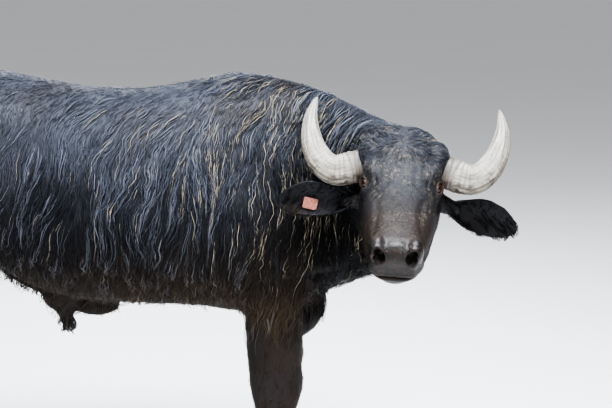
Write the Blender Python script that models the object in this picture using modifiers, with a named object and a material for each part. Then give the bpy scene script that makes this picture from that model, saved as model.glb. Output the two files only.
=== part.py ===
"""A life-size water buffalo bull that stands square, with its head turned to its right.

The body faces +X, its left is +Y and up is +Z, in metres, and the floor is at z = 0.
The body and the head are each modelled whole, from lofts and muscle forms fused into one
skin, and are then parted into nodes by thin flat cuts.
"""

import math
import random

import bmesh
import bpy
from mathutils import Matrix, Vector
from mathutils.bvhtree import BVHTree

# Driving dimensions
GAP = 0.0003
HOOF_HEIGHT = 0.072
FORELEG_CUT = 0.545
HINDLEG_CUT = 0.64
LEG_SPACING = 0.175
EYE_RADIUS = 0.0205
EYE_PLACE = Vector((0.196, 0.0985, -0.058))
EYE_AIM = Vector((0.42, 0.84, 0.34)).normalized()
LID_THICKNESS = 0.0055
MOUTH_HEIGHT, MOUTH_GROOVE, MOUTH_STEPS = -0.128, 0.0035, 17
HORN_ROOT = Vector((0.118, 0.112, -0.062))
HORN_LEAN = math.radians(58)
EAR_ROOT = {1: Vector((0.125, 0.146, -0.178)), -1: Vector((0.150, -0.146, -0.160))}
EAR_REACH = {1: Vector((0.05, 0.94, -0.33)), -1: Vector((0.03, -0.98, -0.10))}
EAR_STALK, EAR_LENGTH = 0.080, 0.220
EAR_WALL = 0.006
TAG_SIZE = (0.036, 0.034, 0.0022)
TAG_SHARE, TAG_TURN, TAG_STANDOFF = 0.56, math.radians(-14), 0.0045
SIDES = (("left", 1), ("right", -1))

# How the head is held: the poll's place, and the turns of the face line
POLL = Vector((0.491, -0.285, 1.201))
HEAD_TURN = math.radians(-94.5)
HEAD_DIP = math.radians(31.6)
HEAD_ROLL = math.radians(-3.7)

# Resolution of the fused skins
BODY_VOXEL, BODY_TRIANGLES = 0.013, 4300
HEAD_VOXEL, HEAD_TRIANGLES = 0.0048, 3000

# The trunk: place along the spine, back, belly, half width, narrowing towards the spine
TRUNK = (
    (-1.375, 1.115, 0.985, 0.050, 0.00),
    (-1.340, 1.180, 0.925, 0.110, 0.05),
    (-1.260, 1.260, 0.860, 0.180, 0.12),
    (-1.120, 1.325, 0.810, 0.235, 0.20),
    (-0.960, 1.356, 0.765, 0.265, 0.25),
    (-0.800, 1.362, 0.735, 0.285, 0.24),
    (-0.680, 1.340, 0.676, 0.305, 0.20),
    (-0.540, 1.313, 0.626, 0.330, 0.15),
    (-0.380, 1.300, 0.612, 0.345, 0.13),
    (-0.240, 1.311, 0.607, 0.335, 0.17),
    (-0.130, 1.336, 0.600, 0.310, 0.24),
    (-0.020, 1.350, 0.584, 0.280, 0.32),
    (0.100, 1.338, 0.575, 0.262, 0.34),
    (0.200, 1.312, 0.600, 0.235, 0.32),
    (0.290, 1.262, 0.680, 0.180, 0.20),
    (0.340, 1.160, 0.800, 0.100, 0.10),
)

# The neck, which bends to the right: place, place across, crest, throat, half width
NECK = (
    (0.060, 0.000, 1.315, 0.640, 0.200),
    (0.180, -0.010, 1.316, 0.620, 0.196),
    (0.280, -0.060, 1.284, 0.660, 0.168),
    (0.362, -0.130, 1.250, 0.705, 0.146),
    (0.424, -0.210, 1.224, 0.745, 0.124),
    (0.460, -0.300, 1.206, 0.820, 0.116),
    (0.466, -0.400, 1.150, 0.880, 0.100),
)

# A foreleg: height, place, place across, half length fore and aft, half width
FORELEG = (
    (0.860, 0.080, 0.185, 0.130, 0.070),
    (0.700, 0.085, 0.188, 0.112, 0.072),
    (0.600, 0.092, 0.185, 0.094, 0.066),
    (0.500, 0.094, 0.180, 0.082, 0.060),
    (0.440, 0.096, 0.177, 0.076, 0.055),
    (0.385, 0.100, 0.175, 0.079, 0.058),
    (0.335, 0.098, 0.175, 0.066, 0.053),
    (0.275, 0.090, 0.175, 0.050, 0.044),
    (0.215, 0.088, 0.175, 0.049, 0.044),
    (0.165, 0.092, 0.175, 0.062, 0.058),
    (0.125, 0.108, 0.175, 0.057, 0.057),
    (0.085, 0.122, 0.175, 0.063, 0.063),
    (0.060, 0.128, 0.175, 0.068, 0.066),
)

# A hind leg below the thigh, in the same columns, read down its slanting length
HINDLEG = (
    (0.800, -0.930, 0.195, 0.175, 0.085),
    (0.700, -1.000, 0.195, 0.140, 0.078),
    (0.610, -1.080, 0.188, 0.100, 0.062),
    (0.540, -1.150, 0.182, 0.078, 0.050),
    (0.470, -1.190, 0.178, 0.074, 0.050),
    (0.400, -1.192, 0.176, 0.060, 0.046),
    (0.310, -1.180, 0.175, 0.050, 0.041),
    (0.220, -1.165, 0.175, 0.050, 0.042),
    (0.165, -1.155, 0.175, 0.062, 0.055),
    (0.125, -1.135, 0.175, 0.056, 0.055),
    (0.085, -1.118, 0.175, 0.062, 0.061),
    (0.060, -1.112, 0.175, 0.067, 0.064),
)

# The head along its face line, poll to muzzle: place, brow, jaw, half width, narrowing above
HEAD = (
    (-0.040, -0.030, -0.175, 0.090, 0.00),
    (0.015, 0.004, -0.215, 0.114, -0.04),
    (0.070, 0.022, -0.238, 0.124, -0.06),
    (0.130, 0.024, -0.246, 0.124, -0.02),
    (0.190, 0.014, -0.240, 0.117, 0.02),
    (0.250, 0.001, -0.224, 0.111, 0.06),
    (0.310, -0.006, -0.206, 0.108, 0.06),
    (0.370, -0.010, -0.190, 0.100, 0.04),
    (0.420, -0.012, -0.180, 0.091, 0.00),
    (0.460, -0.018, -0.172, 0.080, -0.04),
    (0.490, -0.032, -0.162, 0.071, -0.02),
    (0.512, -0.055, -0.142, 0.056, 0.00),
)

# Muscle and bone forms of one side of the body: centre, radii, pitch in degrees
BODY_FORMS = (
    ((0.080, 0.165, 1.000), (0.165, 0.095, 0.270), -14),
    ((0.235, 0.160, 0.820), (0.095, 0.075, 0.130), 0),
    ((0.030, 0.195, 0.770), (0.145, 0.078, 0.165), 0),
    ((-0.800, 0.165, 1.215), (0.120, 0.075, 0.060), 0),
    ((-1.270, 0.105, 1.165), (0.085, 0.050, 0.060), 0),
    ((-1.070, 0.185, 0.980), (0.235, 0.110, 0.280), 16),
    ((-1.160, 0.180, 0.830), (0.130, 0.080, 0.180), 20),
    ((-0.885, 0.185, 0.790), (0.120, 0.085, 0.140), -20),
    ((-1.237, 0.178, 0.525), (0.034, 0.028, 0.050), 30),
    ((0.036, 0.150, 0.135), (0.017, 0.014, 0.024), -20),
    ((0.036, 0.200, 0.135), (0.017, 0.014, 0.024), -20),
    ((-1.208, 0.150, 0.135), (0.017, 0.014, 0.024), -20),
    ((-1.208, 0.200, 0.135), (0.017, 0.014, 0.024), -20),
)

# Forms on the middle line of the body
MIDLINE_FORMS = (
    ((0.155, 0.000, 0.615), (0.110, 0.070, 0.130), 18),
    ((-0.485, 0.000, 0.600), (0.085, 0.050, 0.040), 0),
    ((-0.590, 0.000, 0.630), (0.080, 0.045, 0.060), 0),
)
SHEATH = ((-0.600, 0.640, 0.048), (-0.592, 0.595, 0.037), (-0.584, 0.560, 0.029), (-0.576, 0.522, 0.020))

# Bone and flesh forms of one side of the head, in its own frame
HEAD_FORMS = (
    ((0.168, 0.080, -0.030), (0.062, 0.036, 0.034), 6),
    ((0.200, 0.094, -0.056), (0.046, 0.030, 0.039), 0),
    ((0.086, 0.094, -0.046), (0.066, 0.046, 0.058), 0),
    ((0.180, 0.080, -0.150), (0.115, 0.042, 0.085), 8),
    ((0.095, 0.062, -0.178), (0.062, 0.042, 0.056), 0),
    ((0.290, 0.066, -0.090), (0.085, 0.030, 0.050), 0),
    ((0.474, 0.052, -0.052), (0.040, 0.028, 0.036), 20),
    ((0.462, 0.040, -0.108), (0.052, 0.042, 0.030), 0),
    ((0.112, 0.086, -0.145), (0.040, 0.032, 0.036), 0),
)

# Forms on the middle line of the head
HEAD_MIDLINE_FORMS = (
    ((0.105, 0.000, -0.034), (0.105, 0.104, 0.068), 0),
    ((0.025, 0.000, -0.052), (0.065, 0.104, 0.070), 0),
    ((0.476, 0.000, -0.066), (0.042, 0.064, 0.046), 0),
    ((0.452, 0.000, -0.160), (0.050, 0.052, 0.026), -8),
)

# A tail's path: place, height, radius
TAIL = (
    (-1.374, 1.158, 0.034),
    (-1.404, 1.150, 0.033),
    (-1.432, 1.112, 0.030),
    (-1.446, 1.040, 0.026),
    (-1.450, 0.900, 0.023),
    (-1.446, 0.740, 0.020),
    (-1.440, 0.620, 0.020),
    (-1.436, 0.540, 0.021),
    (-1.434, 0.470, 0.014),
    (-1.434, 0.430, 0.004),
)

# The switch at the tail's end: how many locks, and one lock's height, distance from the tail's
# middle, half width and half thickness, from its sunk root to its free tip
SWITCH_LOCKS = 7
SWITCH_SHAPE = (
    (0.560, 0.010, 0.008, 0.005),
    (0.490, 0.026, 0.014, 0.007),
    (0.400, 0.030, 0.013, 0.006),
    (0.320, 0.014, 0.003, 0.002),
)

# Where the neck is parted from the trunk and from the head
NECK_CUT_TORSO = Vector((0.190, 0.0, 1.0))
NECK_NORMAL_TORSO = Vector((0.94, -0.10, 0.30))
NECK_CUT_HEAD = Vector((0.4365, -0.2445, 1.027))
NECK_NORMAL_HEAD = Vector((0.25, -0.955, -0.16))

# A horn: out from its root, up, back, half depth in its own plane, half thickness
HORN = (
    (0.000, 0.000, 0.000, 0.048, 0.033),
    (0.028, -0.002, -0.002, 0.048, 0.032),
    (0.060, -0.012, -0.002, 0.047, 0.031),
    (0.094, -0.014, 0.002, 0.044, 0.029),
    (0.128, 0.010, 0.012, 0.041, 0.027),
    (0.155, 0.053, 0.023, 0.036, 0.023),
    (0.172, 0.108, 0.036, 0.029, 0.019),
    (0.177, 0.165, 0.048, 0.020, 0.014),
    (0.170, 0.212, 0.056, 0.010, 0.008),
    (0.164, 0.233, 0.058, 0.003, 0.003),
)

# An ear: share of its length, half width along the wall, how far it is rolled in degrees
EAR = (
    (0.00, 0.039, 118),
    (0.10, 0.049, 94),
    (0.25, 0.056, 64),
    (0.45, 0.060, 45),
    (0.65, 0.055, 37),
    (0.82, 0.042, 33),
    (0.94, 0.024, 30),
    (1.00, 0.008, 28),
)

# The coat's locks: length and width, then how far out the middle of a lock lies and how thick it
# is, from its sunk root to its free tip, as shares of the length
LOCK_LENGTH, LOCK_WIDTH = 0.200, 0.056
LOCK_SHAPE = (
    (0.00, -0.014, 0.70, 0.014),
    (0.40, 0.005, 1.00, 0.012),
    (0.75, 0.011, 0.72, 0.008),
    (1.00, 0.015, 0.14, 0.003),
)
LOCK_LEAN = Vector((-0.22, 0.0, -1.0))
TRUNK_LOCK_PLACES = (-1.10, -0.94, -0.78, -0.62, -0.46, -0.30, -0.14, 0.02, 0.14)
TRUNK_LOCK_ANGLES = (52, 24, -4, -32)
NECK_LOCK_PLACES = (0.30, 0.52, 0.72)
NECK_LOCK_ANGLES = (60, 20, -20, -58)
LOCK_FLOOR = 0.585

# Colours and finishes
HIDE = ("hide", (0.030, 0.029, 0.031), 0.75)
HORN_STUFF = ("horn", (0.58, 0.54, 0.46), 0.55)
HOOF_STUFF = ("hoof", (0.045, 0.040, 0.036), 0.5)
EYE_STUFF = ("eye", (0.02, 0.012, 0.008), 0.08)
TAG_STUFF = ("tag", (0.80, 0.42, 0.36), 0.5)


def material(stuff):
    """The Principled material of a name, colour and roughness, made once."""
    name, colour, roughness = stuff
    found = bpy.data.materials.get(name)
    if found:
        return found
    made = bpy.data.materials.new(name)
    made.use_nodes = True
    shader = made.node_tree.nodes["Principled BSDF"]
    shader.inputs["Base Color"].default_value = (*colour, 1.0)
    shader.inputs["Roughness"].default_value = roughness
    shader.inputs["Metallic"].default_value = 0.0
    made.diffuse_color = (*colour, 1.0)
    return made


def collection(name):
    """The collection of that name, made once."""
    found = bpy.data.collections.get(name)
    if not found:
        found = bpy.data.collections.new(name)
        bpy.context.scene.collection.children.link(found)
    return found


def new_object(name, mesh, group="work"):
    made = bpy.data.objects.new(name, mesh)
    collection(group).objects.link(made)
    return made


def remove(objects):
    for old in objects:
        bpy.data.objects.remove(old)


def object_from(name, bm):
    """An object from a closed bmesh, with its faces turned out."""
    bm.normal_update()
    bmesh.ops.recalc_face_normals(bm, faces=bm.faces)
    if bm.calc_volume(signed=True) < 0:
        bmesh.ops.reverse_faces(bm, faces=bm.faces)
    mesh = bpy.data.meshes.new(name)
    bm.to_mesh(mesh)
    bm.free()
    return new_object(name, mesh)


def apply_modifiers(obj):
    """Puts the evaluated mesh in the place of the object's own."""
    bpy.context.view_layer.update()
    graph = bpy.context.evaluated_depsgraph_get()
    mesh = bpy.data.meshes.new_from_object(obj.evaluated_get(graph))
    obj.modifiers.clear()
    obj.data = mesh
    return obj


def smooth_rows(rows, steps=3):
    """The rows of a table with more between them, on a Catmull-Rom curve through them all."""
    made = []
    last = len(rows) - 1
    for i in range(last):
        before, here, there, after = (rows[max(0, min(last, i + k))] for k in (-1, 0, 1, 2))
        for step in range(steps):
            t = step / steps
            made.append(
                tuple(
                    0.5 * (2 * b + (c - a) * t + (2 * a - 5 * b + 4 * c - d) * t**2 + (3 * b - a - 3 * c + d) * t**3)
                    for a, b, c, d in zip(before, here, there, after)
                )
            )
    made.append(tuple(rows[last]))
    return made


def rounded(t, square):
    """Cosine and sine of a turn, squared off where square is over 2."""
    c, s = math.cos(t), math.sin(t)
    return math.copysign(abs(c) ** (2 / square), c), math.copysign(abs(s) ** (2 / square), s)


def ring(centre, across, up, half_width, half_height, narrowing=0.0, square=2.2, count=24):
    """One closed section. It is narrower above where narrowing is positive."""
    points = []
    for i in range(count):
        c, s = rounded(2 * math.pi * i / count, square)
        points.append(centre + across * (half_width * c * (1 - narrowing * s)) + up * (half_height * s))
    return points


def loft(name, rings):
    """A closed solid through rings of equal count."""
    bm = bmesh.new()
    rows = [[bm.verts.new(p) for p in points] for points in rings]
    count = len(rows[0])
    for a, b in zip(rows, rows[1:]):
        for i in range(count):
            j = (i + 1) % count
            bm.faces.new((a[i], a[j], b[j], b[i]))
    bm.faces.new(rows[0])
    bm.faces.new(rows[-1])
    return object_from(name, bm)


def ball(name, centre, radii, pitch=0.0, fine=16):
    """An ellipsoid, with its length turned nose down by the pitch in degrees."""
    bm = bmesh.new()
    bmesh.ops.create_uvsphere(bm, u_segments=fine * 2, v_segments=fine, radius=1.0)
    turn = Matrix.Rotation(math.radians(pitch), 4, "Y")
    bm.transform(Matrix.Translation(centre) @ turn @ Matrix.Diagonal((*radii, 1.0)))
    return object_from(name, bm)


def both_sides(forms):
    """Each form on the left and on the right."""
    return [
        ball("form", (x, y * side, z), radii, pitch) for (x, y, z), radii, pitch in forms for _, side in SIDES
    ]


def joined(name, pieces):
    """One object that holds the meshes of all the pieces, which are removed."""
    bm = bmesh.new()
    for piece in pieces:
        mesh = piece.data.copy()
        mesh.transform(piece.matrix_world)
        bm.from_mesh(mesh)
    made = bpy.data.meshes.new(name)
    bm.to_mesh(made)
    bm.free()
    remove(pieces)
    return new_object(name, made)


def fused(name, pieces, voxel, rounds, triangles):
    """The pieces as one smooth closed skin of about that many triangles."""
    obj = joined(name, pieces)
    remesh = obj.modifiers.new("skin", "REMESH")
    remesh.mode = "VOXEL"
    remesh.voxel_size = voxel
    relax = obj.modifiers.new("relax", "SMOOTH")
    relax.factor = 0.5
    relax.iterations = rounds
    apply_modifiers(obj)
    thin = obj.modifiers.new("thin", "DECIMATE")
    thin.ratio = triangles / (2 * len(obj.data.polygons))
    return apply_modifiers(obj)


def combine(obj, others, operation, solver="EXACT"):
    """Applies one Boolean of the object with the others, which are removed."""
    cutters = collection("cutters")
    for other in others:
        for group in other.users_collection:
            group.objects.unlink(other)
        cutters.objects.link(other)
    boolean = obj.modifiers.new(operation.lower(), "BOOLEAN")
    boolean.operation = operation
    boolean.operand_type = "COLLECTION"
    boolean.collection = cutters
    boolean.solver = solver
    apply_modifiers(obj)
    remove(others)
    return obj


def box(name, low, high):
    """A plain box between two corners, used as a cutter."""
    low, high = Vector(low), Vector(high)
    bm = bmesh.new()
    bmesh.ops.create_cube(bm, size=1.0)
    bm.transform(Matrix.Translation((low + high) / 2) @ Matrix.Diagonal((*(high - low), 1.0)))
    return object_from(name, bm)


def kept_beyond(obj, point, normal):
    """Cuts the object flat and keeps what lies on the side that the normal points to."""
    bm = bmesh.new()
    bm.from_mesh(obj.data)
    geometry = bm.verts[:] + bm.edges[:] + bm.faces[:]
    cut = bmesh.ops.bisect_plane(bm, geom=geometry, plane_co=point, plane_no=normal, clear_inner=True)
    edges = [e for e in cut["geom_cut"] if isinstance(e, bmesh.types.BMEdge)]
    filled = bmesh.ops.holes_fill(bm, edges=edges)
    bmesh.ops.triangulate(bm, faces=filled["faces"])
    bm.to_mesh(obj.data)
    bm.free()
    return obj


def copy_of(obj, name):
    return new_object(name, obj.data.copy())


def halves(obj, names, point, normal):
    """Two objects, before and beyond a plane, with the gap between them. The first is removed."""
    normal = Vector(normal).normalized()
    point = Vector(point)
    before = kept_beyond(copy_of(obj, names[0]), point - normal * GAP / 2, -normal)
    beyond = kept_beyond(copy_of(obj, names[1]), point + normal * GAP / 2, normal)
    remove([obj])
    return before, beyond


def islands(bm):
    """The separate surfaces of a bmesh, as sets of faces, the largest last."""
    left, found = set(bm.faces), []
    while left:
        stack, island = [left.pop()], set()
        while stack:
            face = stack.pop()
            island.add(face)
            near = {f for e in face.edges for f in e.link_faces} & left
            left -= near
            stack.extend(near)
        found.append(island)
    return sorted(found, key=lambda faces: sum(f.calc_area() for f in faces))


def keep_largest(obj):
    """Drops every surface of the object but its largest."""
    bm = bmesh.new()
    bm.from_mesh(obj.data)
    for island in islands(bm)[:-1]:
        bmesh.ops.delete(bm, geom=list(island), context="FACES")
    bm.to_mesh(obj.data)
    bm.free()
    return obj


def separated(obj, count):
    """The object's largest separate surfaces, each as an object of its own, which is removed."""
    made = []
    for keep in range(1, count + 1):
        bm = bmesh.new()
        bm.from_mesh(obj.data)
        parts = islands(bm)
        for island in parts[:-keep] + parts[len(parts) - keep + 1 :]:
            bmesh.ops.delete(bm, geom=list(island), context="FACES")
        mesh = bpy.data.meshes.new("part")
        bm.to_mesh(mesh)
        bm.free()
        made.append(new_object("part", mesh))
    remove([obj])
    return made


def centre_of(obj):
    points = [v.co for v in obj.data.vertices]
    return sum(points, Vector()) / len(points)


def head_frame():
    """The matrix from the head's own frame, face line along +X, to the model's."""
    turn = Matrix.Rotation(HEAD_TURN, 4, "Z")
    roll = Matrix.Rotation(HEAD_ROLL, 4, "X")
    dip = Matrix.Rotation(HEAD_DIP, 4, "Y")
    return Matrix.Translation(POLL) @ turn @ roll @ dip


def trunk_form():
    rings = [
        ring(Vector((x, 0, (back + belly) / 2)), Vector((0, 1, 0)), Vector((0, 0, 1)), half, (back - belly) / 2, narrow)
        for x, back, belly, half, narrow in smooth_rows(TRUNK)
    ]
    return loft("trunk", rings)


def neck_form():
    """The neck's loft, whose sections stand upright across its bent path."""
    rows = smooth_rows(NECK, 4)
    rings = []
    for i, (x, y, crest, throat, half) in enumerate(rows):
        ahead, behind = rows[min(i + 1, len(rows) - 1)], rows[max(i - 1, 0)]
        along = Vector((ahead[0] - behind[0], ahead[1] - behind[1], 0)).normalized()
        across = Vector((-along.y, along.x, 0))
        centre = Vector((x, y, (crest + throat) / 2))
        rings.append(ring(centre, across, Vector((0, 0, 1)), half, (crest - throat) / 2, 0.10))
    return loft("neck", rings)


def leg_form(rows, side):
    """A leg's loft, whose sections lie across its slanting length."""
    rows = smooth_rows(rows)
    rings = []
    for i, (z, x, y, half_length, half_width) in enumerate(rows):
        ahead, behind = rows[min(i + 1, len(rows) - 1)], rows[max(i - 1, 0)]
        down = Vector((ahead[1] - behind[1], 0, ahead[0] - behind[0])).normalized()
        fore = Vector((-down.z, 0, down.x))
        rings.append(ring(Vector((x, y * side, z)), Vector((0, side, 0)), fore, half_width, half_length))
    return loft("leg", rings)


def sheath_form():
    rings = [
        ring(Vector((x, 0, z)), Vector((0, 1, 0)), Vector((1, 0, 0)), radius * 0.85, radius, count=16)
        for x, z, radius in SHEATH
    ]
    return loft("sheath", rings)


def head_form():
    rings = [
        ring(Vector((x, 0, (brow + jaw) / 2)), Vector((0, 1, 0)), Vector((0, 0, 1)), half, (brow - jaw) / 2, narrow, 2.5)
        for x, brow, jaw, half, narrow in smooth_rows(HEAD)
    ]
    return loft("head", rings)


def head_pieces():
    """The head's loft with its bone and flesh forms, in its own frame."""
    return [head_form()] + both_sides(HEAD_FORMS) + [ball("form", *form) for form in HEAD_MIDLINE_FORMS]


def mirrored(point, side):
    return Vector((point.x, point.y * side, point.z))


def horn_axes(side):
    """The horn's out, up and back directions in the head's frame."""
    out = Vector((0, side, 0))
    up = Vector((-math.sin(HORN_LEAN), 0, math.cos(HORN_LEAN)))
    back = Vector((-math.cos(HORN_LEAN), 0, -math.sin(HORN_LEAN)))
    return out, up, back


def horn_rings(side, rows, count=12):
    """Sections of a horn, flattened from front to back."""
    out, up, back = horn_axes(side)
    root = mirrored(HORN_ROOT, side)
    places = [root + out * o + up * u + back * b for o, u, b, _, _ in rows]
    rings = []
    for i, (_, _, _, deep, thick) in enumerate(rows):
        along = (places[min(i + 1, len(rows) - 1)] - places[max(i - 1, 0)]).normalized()
        if i == 0:
            along = out
        in_plane = along.cross(back).normalized()
        through = in_plane.cross(along).normalized()
        rings.append(ring(places[i], in_plane, through, deep, thick, 0.12, 2.3, count))
    return rings


def horn(side):
    return loft("horn", horn_rings(side, smooth_rows(HORN, 2)))


def horn_socket(side):
    """The lower part of a horn with the gap all round it, as a cutter for the head."""
    rows = [(*row[:3], row[3] + 4 * GAP, row[4] + 4 * GAP) for row in smooth_rows(HORN, 2)]
    rings = horn_rings(side, rows)[:6]
    rings[0] = [p - Vector((0, side * GAP, 0)) for p in rings[0]]
    return loft("socket", rings)


def horn_boss(side):
    """The hairy base that the horn grows from, flat where the horn's root meets it."""
    root = mirrored(HORN_ROOT, side)
    face = horn_rings(side, HORN[:2])[0]
    rings = []
    for inward, swell in ((0.060, 1.24), (0.024, 1.22), (0.008, 1.15), (GAP, 1.05)):
        rings.append([root + (p - root) * swell - Vector((0, side * inward, 0)) for p in face])
    return loft("boss", rings)


def ear_axes(side):
    """The ear's length, its lower edge's direction and the way that its cup opens."""
    along = EAR_REACH[side].normalized()
    opens = Vector((0.75, 0.0, 0.36))
    opens = (opens - along * opens.dot(along)).normalized()
    return along, along.cross(opens).normalized(), opens


def ear_root(side):
    """Where the ear's own solid starts, at the end of the head's stalk for it."""
    return EAR_ROOT[side]


def ear_profile(share, half, roll_degrees, side, inset, count=7):
    """One row of points across the ear's wall, from edge to edge."""
    along, edge, opens = ear_axes(side)
    roll = math.radians(roll_degrees)
    radius = half / roll
    centre = ear_root(side) + along * (share * EAR_LENGTH) + Vector((0, 0, 0.05 * share * (1 - share)))
    points = []
    for i in range(count):
        turn = roll * (2 * i / (count - 1) - 1)
        reach = radius - inset
        points.append(centre + edge * (reach * math.sin(turn)) + opens * (radius - reach * math.cos(turn)))
    return points


def ear(side):
    """The ear's cup: an outer and an inner wall that meet at the rim, from a flat root."""
    rings = []
    for share, half, roll in smooth_rows(EAR, 2):
        outer = ear_profile(share, half, roll, side, 0.0)
        wall = min(EAR_WALL, half * 0.35)
        inner = ear_profile(share, half, roll, side, wall)
        rings.append(outer + inner[::-1])
    return loft("ear", rings)


def ear_base(side, first, last, radius_scale):
    """A short round stalk along the ear's length, from one place to another in metres."""
    along, edge, opens = ear_axes(side)
    rings = []
    for k in range(4):
        t = first + (last - first) * k / 3
        radius = 0.0265 * (1 + radius_scale * (k / 3))
        centre = ear_root(side) + along * t + opens * 0.016
        rings.append(ring(centre, edge, opens, radius, radius * 0.85, count=14))
    return loft("stalk", rings)


def ear_tag():
    """A bare plate in the cup of the right ear, with the stud that pins it."""
    along, edge, opens = ear_axes(-1)
    rows = smooth_rows(EAR, 8)
    half, roll_degrees = min(rows, key=lambda row: abs(row[0] - TAG_SHARE))[1:]
    radius = half / math.radians(roll_degrees)
    reach = radius - EAR_WALL
    middle = ear_profile(TAG_SHARE, half, roll_degrees, -1, EAR_WALL)[3]
    axis = middle + opens * reach
    inward = edge * -math.sin(TAG_TURN) + opens * math.cos(TAG_TURN)
    across = along.cross(inward)
    wall = axis - inward * reach
    length, width, thick = TAG_SIZE
    rings = []
    for reach, half_length, half_width in (
        (2 * GAP, 0.0035, 0.0035),
        (TAG_STANDOFF, 0.0035, 0.0035),
        (TAG_STANDOFF, length / 2, width / 2),
        (TAG_STANDOFF + thick, length / 2, width / 2),
    ):
        rings.append(ring(wall + inward * reach, along, across, half_length, half_width, square=8.0, count=16))
    return loft("tag", rings)


def eye_place(side):
    return mirrored(EYE_PLACE, side)


def eye_ball(side, radius, fine=9):
    """A sphere at the eye, its poles along the way that it looks."""
    bm = bmesh.new()
    bmesh.ops.create_uvsphere(bm, u_segments=fine * 2, v_segments=fine, radius=radius)
    aim = mirrored(EYE_AIM, side).to_track_quat("Z", "Y").to_matrix().to_4x4()
    bm.transform(Matrix.Translation(eye_place(side)) @ aim)
    return object_from("eye", bm)


def lid_opening(side):
    """The almond between the lids, as a cutter that points out of the eye."""
    aim = mirrored(EYE_AIM, side)
    forward = (Vector((1, 0, 0)) - aim * aim.x).normalized()
    upward = forward.cross(aim) * -side
    rings = []
    for reach in (0.006, 0.050):
        centre = eye_place(side) + aim * reach
        points = []
        for i in range(16):
            turn = 2 * math.pi * i / 16
            long = 0.0185 * math.cos(turn)
            high = 0.0125 * math.sin(turn) * (1 - 0.25 * abs(math.cos(turn)))
            points.append(centre + forward * long + upward * high)
        rings.append(points)
    return loft("opening", rings)


def nostril(side):
    """The comma-shaped hollow of a nostril, as a cutter."""
    return ball("nostril", (0.502, 0.0455 * side, -0.060), (0.030, 0.0145, 0.019), 28, 8)


def mouth_line(head):
    """The groove between the lips, as a thin tube that lies in the head's surface."""
    surface = surface_of(head)
    places, outward = [], []
    for i in range(MOUTH_STEPS):
        turn = math.radians(-100 + 200 * i / (MOUTH_STEPS - 1))
        away = Vector((math.cos(turn), math.sin(turn), 0))
        middle = Vector((0.400, 0, MOUTH_HEIGHT + 0.014 * (1 - away.x)))
        hit = surface.ray_cast(middle + away * 0.4, -away)[0]
        places.append(hit)
        outward.append(away)
    rings = []
    for i, (place, away) in enumerate(zip(places, outward)):
        tapered = MOUTH_GROOVE * (0.4 if i in (0, MOUTH_STEPS - 1) else 1.0)
        rings.append(ring(place, away, Vector((0, 0, 1)), tapered * 1.5, tapered, square=2.0, count=8))
    return loft("mouth", rings)


def surface_of(obj):
    """The object's faces, for finding places on its surface."""
    return BVHTree.FromPolygons([v.co for v in obj.data.vertices], [f.vertices for f in obj.data.polygons])


def lock(surface, start, normal, draw):
    """One flat tapered lock that hangs along the surface, from a sunk root to a free tip."""
    length = LOCK_LENGTH * draw.uniform(0.85, 1.15)
    width = LOCK_WIDTH * draw.uniform(0.85, 1.15)
    lean = LOCK_LEAN + Vector((draw.uniform(-0.14, 0.14), draw.uniform(-0.05, 0.05), 0))
    rings, place, reached = [], start, 0.0
    for share, lift, wide, thick in LOCK_SHAPE:
        along = (lean - normal * lean.dot(normal)).normalized()
        place, normal = surface.find_nearest(place + along * (share - reached) * length)[:2]
        reached = share
        across = along.cross(normal).normalized()
        rings.append(ring(place + normal * lift, across, normal, width * wide / 2, thick / 2, 0, 2, 4))
    return loft("lock", rings)


def with_locks(core, places, clear):
    """The core joined with a lock at each place that stays clear. A place is a centre and a way out."""
    surface = surface_of(core)
    draw = random.Random(11)
    locks = []
    for centre, outward in places:
        start, normal = surface.ray_cast(centre, outward)[:2]
        if start is None:
            continue
        made = lock(surface, start, normal, draw)
        if all(clear(v.co) for v in made.data.vertices):
            locks.append(made)
        else:
            remove([made])
    return keep_largest(combine(core, locks, "UNION", "MANIFOLD"))


def turned(across, degrees):
    """A way out across the body, raised by an angle."""
    angle = math.radians(degrees)
    return across * math.cos(angle) + Vector((0, 0, math.sin(angle)))


def row_at(rows, place):
    """The row of a table that lies at a place in its first column."""
    return min(smooth_rows(rows, 8), key=lambda row: abs(row[0] - place))


def trunk_lock_places():
    """Centres and ways out for the trunk's locks, in staggered columns on both sides."""
    places = []
    for column, x in enumerate(TRUNK_LOCK_PLACES):
        _, back, belly, _, _ = row_at(TRUNK, x)
        for angle in TRUNK_LOCK_ANGLES:
            for _, side in SIDES:
                raised = angle + (7 if column % 2 else -7)
                places.append((Vector((x, 0, (back + belly) / 2)), turned(Vector((0, side, 0)), raised)))
    return places


def neck_lock_places():
    """Centres and ways out for the neck's locks, across its bent path."""
    rows = smooth_rows(NECK, 8)
    places = []
    for column, share in enumerate(NECK_LOCK_PLACES):
        at = int(share * (len(rows) - 1))
        x, y, crest, throat, _ = rows[at]
        along = Vector((rows[at + 1][0] - x, rows[at + 1][1] - y, 0)).normalized()
        across = Vector((-along.y, along.x, 0))
        for angle in NECK_LOCK_ANGLES:
            for _, side in SIDES:
                raised = angle + (8 if column % 2 else -8)
                places.append((Vector((x, y, (crest + throat) / 2)), turned(across * side, raised)))
    return places


def finish(obj, name, stuff):
    """Names a finished node and gives it its finish, with its place kept in its mesh."""
    obj.data.transform(obj.matrix_world)
    obj.matrix_world = Matrix.Identity(4)
    for group in obj.users_collection:
        group.objects.unlink(obj)
    collection("water_buffalo").objects.link(obj)
    obj.name = name
    obj.data.name = name
    obj.data.materials.clear()
    obj.data.materials.append(material(stuff))
    obj.data.shade_smooth()
    obj.data.set_sharp_from_angle(angle=math.radians(50))
    return obj


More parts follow.
